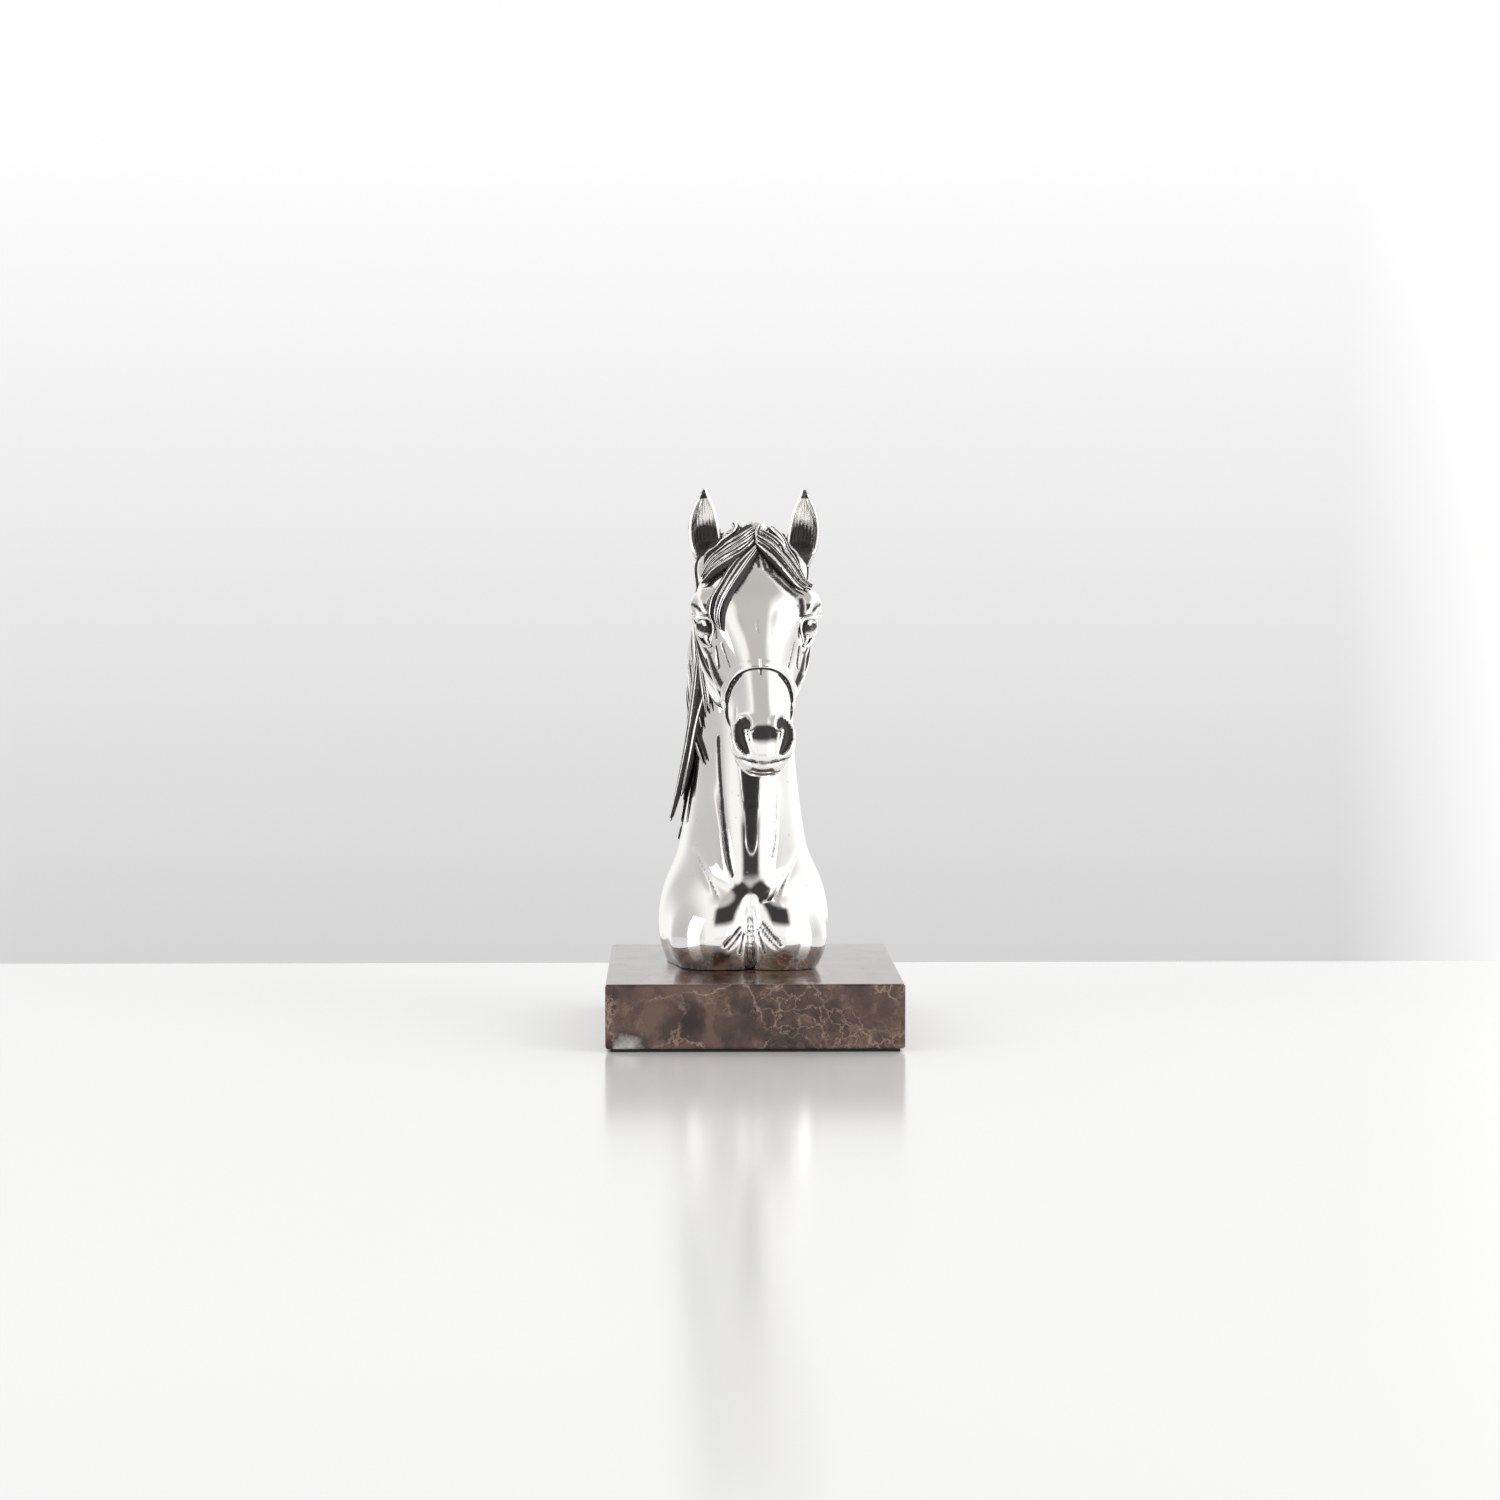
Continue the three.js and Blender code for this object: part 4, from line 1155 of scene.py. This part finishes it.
# %% Work out the recesses
casting = [skin, right_ear, left_ear, forelock, mane, crest, halter, eyes]
all_points, all_faces, count = [], [], 0
for piece in casting:
    piece.data.calc_loop_triangles()
    triangles = np.empty(len(piece.data.loop_triangles) * 3, int)
    piece.data.loop_triangles.foreach_get("vertices", triangles)
    all_faces.append(triangles.reshape(-1, 3) + count)
    all_points.append(points_of(piece.data))
    count += len(piece.data.vertices)
tree = BVHTree.FromPolygons(np.concatenate(all_points).tolist(),
                            np.concatenate(all_faces).tolist(), all_triangles=True)
ray_reach, ray_start, ray_lean = 5.0, 0.06, 1.05
ray_rng = np.random.default_rng(3)
ray_set = ray_rng.normal(size=(9, 3))
ray_set /= np.linalg.norm(ray_set, axis=1)[:, None]


def hidden_share(points, normals):
    result = np.zeros(len(points))
    cast = tree.ray_cast
    for i, (point, normal) in enumerate(zip(points, normals)):
        directions = ray_set + normal * ray_lean
        start = Vector(point + normal * ray_start)
        hits = 0
        for direction in directions:
            hits += cast(start, Vector(direction), ray_reach)[0] is not None
        result[i] = hits / len(directions)
    return result


for piece in casting:
    points = points_of(piece.data)
    normals = np.empty(len(points) * 3)
    piece.data.vertex_normals.foreach_get("vector", normals)
    hidden = hidden_share(points, normals.reshape(-1, 3))
    mark = piece.data.attributes["recess"]
    own = np.zeros(len(points))
    mark.data.foreach_get("value", own)
    # The halter under the jaw gets the same painted shade.
    if piece is halter:
        own = np.maximum(own, painted_jaw_shade(points))
    shade = np.clip(own, 0, 1) + 1.25 * ease(hidden, 0.22, 0.75)
    mark.data.foreach_set("value", np.clip(shade, 0, 1.3))
    piece.data.shade_smooth()
    solid = bmesh.new()
    solid.from_mesh(piece.data)
    print(piece.name, len(piece.data.loop_triangles), "triangles, hidden",
          hidden.mean().round(3), "volume", round(solid.calc_volume(signed=True) / MM**3))
    solid.free()

# %% [markdown]
# ## Marble plinth and felt
# The plinth is a sawn block with a narrow polished chamfer. It could stay as the frame's own
# block, but real edges are rounded by the polishing wheel, and those catch a bright line.

# %% Plinth and felt
def bevelled_block(name, low, high, offset, segments):
    bm = bmesh.new()
    bmesh.ops.create_cube(bm, size=1)
    bmesh.ops.scale(bm, verts=bm.verts[:], vec=high - low)
    bmesh.ops.translate(bm, verts=bm.verts[:], vec=(low + high) / 2)
    bmesh.ops.bevel(bm, geom=bm.edges[:], offset=offset, segments=segments, profile=0.42,
                    affect="EDGES", material=-1)
    piece = to_object(name, bm)
    piece.data.shade_smooth()
    piece.modifiers.new("flat faces", "WEIGHTED_NORMAL").keep_sharp = True
    return piece


plinth = bevelled_block("plinth", *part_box("marble_plinth"), 0.0010, 4)
felt = bevelled_block("felt", *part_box("felt_pad"), 0.00025, 2)
print("plinth", [round(v / MM, 1) for v in plinth.dimensions])

# %% [markdown]
# ## Silver
# Silver is a clean metal: a pale, slightly warm colour and a low roughness. Three things keep
# it from looking like a computer's chrome: a faint unevenness left by hand polishing, cloudy
# patches where the polish is duller, and the black film in the recesses, which has broken
# edges because the polishing cloth skips over small pits.
# The same black film colour also paints the shade under the jaw, along the strap edges, under the ear
# tips and over the upper eyeball.


# %% A helper that adds and links nodes
class Wiring:
    """One node tree. A value given to a socket may be a number, a colour or another socket."""

    def __init__(self, tree):
        self.tree = tree
        self.nodes = tree.nodes

    def put(self, value, socket):
        if isinstance(value, bpy.types.NodeSocket):
            self.tree.links.new(value, socket)
        else:
            socket.default_value = (*value, 1) if socket.type == "RGBA" else value

    def give(self, node, **values):
        for name, value in values.items():
            self.put(value, node.inputs[name.replace("_", " ")])

    def add(self, kind, **values):
        node = self.nodes.new("ShaderNode" + kind)
        for name, value in values.items():
            if hasattr(node, name):
                setattr(node, name, value)
            else:
                self.give(node, **{name: value})
        return node

    def object_place(self):
        return self.add("TexCoord").outputs["Object"]

    def noise(self, place, scale, detail=2.0, rough=0.5):
        node = self.add("TexNoise", Vector=place, Scale=scale, Detail=detail, Roughness=rough)
        return node.outputs["Fac"]

    def ramp(self, value, *stops):
        """A colour ramp. A stop that gives one number instead of a colour is grey."""
        node = self.add("ValToRGB", Fac=value)
        elements = node.color_ramp.elements
        while len(elements) < len(stops):
            elements.new(0.5)
        for element, (at, colour) in zip(elements, stops):
            element.position = at
            element.color = (*(colour if isinstance(colour, tuple) else [colour] * 3), 1)
        return node.outputs["Color"]

    def mix(self, share, first, second):
        node = self.add("Mix", data_type="RGBA")
        for number, value in ((0, share), (6, first), (7, second)):
            self.put(value, node.inputs[number])
        return node.outputs[2]

    def maths(self, operation, *values):
        node = self.add("Math", operation=operation)
        for socket, value in zip(node.inputs, values):
            self.put(value, socket)
        return node.outputs[0]

    def bump(self, height, strength, distance):
        node = self.add("Bump", Height=height, Strength=strength, Distance=distance)
        return node.outputs["Normal"]


def new_material(name):
    material = bpy.data.materials.new(name)
    material.use_nodes = True
    wires = Wiring(material.node_tree)
    return material, wires, wires.nodes["Principled BSDF"]


# %% A node group for the black film in the recesses and the painted shade that rides with it
film_and_shade_group = bpy.data.node_groups.new("tarnish film and painted shade", "ShaderNodeTree")
for name in ("Recess", "Amount"):
    film_and_shade_group.interface.new_socket(name, in_out="INPUT", socket_type="NodeSocketFloat")
film_and_shade_group.interface.new_socket("Film", in_out="OUTPUT", socket_type="NodeSocketFloat")
g = Wiring(film_and_shade_group)
group_in, group_out = g.nodes.new("NodeGroupInput"), g.nodes.new("NodeGroupOutput")
group_place = g.object_place()
broken = g.maths("MULTIPLY_ADD", g.noise(group_place, 900, 4, 0.7), 0.7, -0.35)
cloudy = g.maths("MULTIPLY_ADD", g.noise(group_place, 160), 0.5, -0.25)
film = g.maths("ADD", g.maths("ADD", group_in.outputs["Recess"], broken), cloudy)
film = g.maths("MULTIPLY", film, group_in.outputs["Amount"])
film_range = g.add("MapRange", interpolation_type="SMOOTHSTEP", Value=film, From_Min=0.3, From_Max=0.85)
g.give(group_out, Film=film_range.outputs["Result"])

# %% Silver materials
bare_tones = (0.3, (0.93, 0.915, 0.885)), (0.7, (0.96, 0.955, 0.94))
film_and_shade_colour = (0.028, 0.026, 0.025)


def silver_material(name, film_amount, wave_height):
    material, m, shader = new_material(name)
    place = m.object_place()
    recess = m.add("Attribute", attribute_name="recess").outputs["Fac"]
    film_node = m.add("Group", node_tree=film_and_shade_group)
    m.give(film_node, Recess=recess, Amount=film_amount)
    pits = m.ramp(m.noise(place, 420, 3, 0.6), (0.0, 0), (0.70, 0), (0.76, 1))
    # Tarnish film and pits, together with the painted shade carried in the recess attribute.
    dirt_and_shade = m.maths("MAXIMUM", film_node.outputs["Film"], m.maths("MULTIPLY", pits, 0.55))
    tone = m.ramp(m.noise(place, 22, 3), *bare_tones)
    dull = m.maths("MULTIPLY_ADD", m.noise(place, 60, 4), 0.10, 0.035)
    waves = m.maths("MULTIPLY", m.noise(place, 55, 1), wave_height)
    grain = m.maths("MULTIPLY", m.noise(place, 700, 3, 0.6), 0.02)
    height = m.maths("SUBTRACT", m.maths("ADD", waves, grain), m.maths("MULTIPLY", dirt_and_shade, 0.12))
    m.give(shader, Base_Color=m.mix(dirt_and_shade, tone, film_and_shade_colour),
           Metallic=m.maths("MULTIPLY_ADD", dirt_and_shade, -0.75, 1.0),
           Roughness=m.maths("MULTIPLY_ADD", dirt_and_shade, 0.38, dull),
           Normal=m.bump(height, 0.6, 0.0006))
    return material


polished = silver_material("polished silver", 1.0, 0.35)
hair_silver = silver_material("silver hair", 1.5, 0.1)
print("film group has", len(g.nodes), "nodes")

# %% [markdown]
# ## Marble
# The stone is a dark brown breccia: angular brown and reddish lumps in a dark ground, crossed
# by thin pale veins, with one whitish patch at a corner. Cells give the lumps, the borders of
# other cells give the veins, and noise bends both. A thin coat gives the polish.

# %% Marble: the place in the stone, bent by noise
marble, m, marble_shader = new_material("brown marble")
stone = m.object_place()
warp = m.add("TexNoise", Vector=stone, Scale=26, Detail=9, Roughness=0.7).outputs["Color"]
bend = m.add("VectorMath", operation="MULTIPLY_ADD")
for socket, value in zip(bend.inputs, (warp, (0.030, 0.030, 0.030), stone)):
    m.put(value, socket)
bent = bend.outputs[0]


def cells(scale, feature):
    return m.add("TexVoronoi", feature=feature, Vector=bent, Scale=scale).outputs["Distance"]


# %% Marble: lumps and tan patches
lump_tone = m.maths("ADD", cells(60, "F1"), m.maths("MULTIPLY", m.noise(stone, 90, 6, 0.65), 0.7))
ground = m.ramp(lump_tone, (0.30, (0.012, 0.005, 0.003)), (0.58, (0.026, 0.012, 0.008)),
                (0.78, (0.055, 0.028, 0.019)), (1.0, (0.13, 0.078, 0.056)))
patches = m.ramp(m.noise(bent, 19, 5, 0.6), (0.48, 0), (0.54, 1))
tan = m.ramp(m.noise(bent, 130, 7, 0.7), (0.32, (0.020, 0.010, 0.007)),
             (0.52, (0.075, 0.040, 0.028)), (0.72, (0.26, 0.165, 0.12)))
stone_colour = m.mix(m.maths("MULTIPLY", patches, 0.75), ground, tan)

# %% Marble: veins of three sizes, each in some regions only
vein_colour = (0.42, 0.30, 0.23)
vein_here = m.ramp(m.noise(stone, 34, 4), (0.50, 0), (0.58, 1))
vein_there = m.ramp(m.noise(bent, 48, 4), (0.44, 0), (0.54, 1))
vein_both = m.maths("MULTIPLY", vein_here, vein_there)
veins = 0.0
for scale, region, stops in (
    (210, vein_both, [(0.0, 0.7), (0.05, 0)]),
    (120, vein_here, [(0.0, 1), (0.03, 0)]),
    (34, vein_there, [(0.0, 1), (0.007, 0.6), (0.018, 0)]),
):
    edges = m.ramp(cells(scale, "DISTANCE_TO_EDGE"), *stops)
    veins = m.maths("MAXIMUM", m.maths("MULTIPLY", edges, region), veins)
vein_share = m.maths("MULTIPLY", veins, 0.75)
stone_colour = m.mix(vein_share, stone_colour, vein_colour)

# %% Marble: the whitish patch, the polish and the finished material
patch_centre = (-0.036, -0.066, 0.017)
to_patch = m.add("VectorMath", operation="DISTANCE")
m.put(bent, to_patch.inputs[0])
m.put(patch_centre, to_patch.inputs[1])
in_patch = m.ramp(to_patch.outputs["Value"], (0.0, 1), (0.0055, 1), (0.0075, 0))
pale = m.ramp(m.noise(stone, 240, 5, 0.7), (0.35, (0.28, 0.25, 0.22)), (0.65, (0.52, 0.50, 0.46)))
m.give(marble_shader, Base_Color=m.mix(in_patch, stone_colour, pale),
       Roughness=m.maths("MULTIPLY_ADD", m.noise(stone, 120, 4), 0.10, 0.06),
       IOR=1.46, Coat_Weight=0.1, Coat_Roughness=0.04,
       Normal=m.bump(vein_share, 0.12, 0.0002))
print("marble has", len(m.nodes), "nodes")

# %% Felt material
felt_material, f, felt_shader = new_material("dark felt")
fibre = f.object_place()
felt_tone = f.ramp(f.noise(fibre, 2600, 3, 0.7),
                   (0.3, (0.010, 0.009, 0.009)), (0.7, (0.035, 0.032, 0.030)))
f.give(felt_shader, Base_Color=felt_tone, Sheen_Weight=0.3,
       Roughness=f.maths("MULTIPLY_ADD", f.noise(fibre, 900), 0.1, 0.88),
       Normal=f.bump(f.noise(fibre, 2200, 3, 0.8), 0.7, 0.0003))

# %% Give each piece its finish and its place in the frame
hair = (forelock, mane, crest)
finishes = [(piece, "horse_bust", "silver", hair_silver if piece in hair else polished)
            for piece in casting]
finishes += [(plinth, "marble_plinth", "marble", marble), (felt, "felt_pad", "felt", felt_material)]
for piece, node, slot, material in finishes:
    piece.data.materials.clear()
    piece.data.materials.append(material)
    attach(piece, "root")
    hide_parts(node)
print(len(finishes), "pieces finished")

# %% [markdown]
# ## Table and light
# Silver shows nothing of its own: its look is what it mirrors. Two soft lights stand to the
# left and right. The world is a pale studio, brighter beside the object and darker overhead,
# with one dark gap high in front, which the round neck mirrors as a dark stripe.

# %% Table
table_bm = bmesh.new()
bmesh.ops.create_grid(table_bm, x_segments=1, y_segments=1, size=1)
table_front, table_back, table_half = -2.4, 0.259, 2.2
for vert in table_bm.verts:
    vert.co.x *= table_half
    vert.co.y = table_front if vert.co.y < 0 else table_back
table = to_object("table", table_bm)
table_material, t, table_shader = new_material("glossy white table")
t.give(table_shader, Base_Color=(0.90, 0.90, 0.90), Roughness=0.16, IOR=1.5)
table.data.materials.append(table_material)
table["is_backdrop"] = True

# %% Lights
light_size = (1.0, 1.4)
light_aim = Vector((0, 0, 0.12))
for name, side, power in (("left light", -1.5, 7), ("right light", 1.5, 10)):
    data = bpy.data.lights.new(name, "AREA")
    data.shape = "RECTANGLE"
    data.size, data.size_y = light_size
    data.energy = power
    light = bpy.data.objects.new(name, data)
    light.location = (side, -0.9, 0.7)
    light.rotation_euler = (light_aim - light.location).to_track_quat("-Z", "Y").to_euler()
    bpy.context.scene.collection.objects.link(light)

# %% World: the backdrop, the brighter sides and the dark gap
world = bpy.data.worlds.new("studio")
bpy.context.scene.world = world
world.use_nodes = True
w = Wiring(world.node_tree)
split = w.add("SeparateXYZ")
w.put(w.add("TexCoord").outputs["Generated"], split.inputs[0])
to_side, to_back, to_top = split.outputs
backdrop = w.ramp(w.maths("MULTIPLY_ADD", to_top, 0.5, 0.5),
                  (0.30, 0.5), (0.445, 0.66), (0.494, 0.81), (0.552, 1.0), (0.70, 0.98),
                  (0.90, (0.60, 0.59, 0.575)), (1.0, (0.53, 0.515, 0.495)))
side_light = w.ramp(w.maths("MULTIPLY_ADD", to_side, 0.5, 0.5),
                    (0.0, 0.55), (0.14, (0.62, 0.62, 0.61)), (0.26, (0.98, 0.98, 0.96)),
                    (0.42, (0.98, 0.98, 0.96)), (0.58, (1.2, 1.2, 1.19)), (0.88, 1.1), (1.0, 0.7))
beside = w.ramp(w.maths("ABSOLUTE", to_side), (0.17, 0), (0.24, 1))
level = w.ramp(w.maths("ABSOLUTE", to_top), (0.90, 1), (0.96, 0))
sky = w.mix(w.maths("MULTIPLY", beside, level), backdrop, side_light)
in_front = w.ramp(w.maths("MULTIPLY", to_back, -1.0), (0.26, 0), (0.36, 1))
gap = w.ramp(w.maths("ABSOLUTE", w.maths("ADD", to_side, -0.05)), (0.0, 1), (0.23, 1), (0.34, 0))
above = w.ramp(to_top, (0.38, 0), (0.56, 1), (0.85, 1), (0.90, 0))
dark_share = w.maths("MULTIPLY", w.maths("MULTIPLY", gap, in_front), above)
w.give(w.nodes["Background"], Color=w.mix(dark_share, sky, (0.045, 0.045, 0.044)), Strength=1.0)
bpy.context.scene.view_settings.view_transform = "Standard"
bpy.context.scene.view_settings.look = "None"

# %% Measure and finish
low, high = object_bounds()
print("visual", [round(v, 4) for v in (*low, *high)])
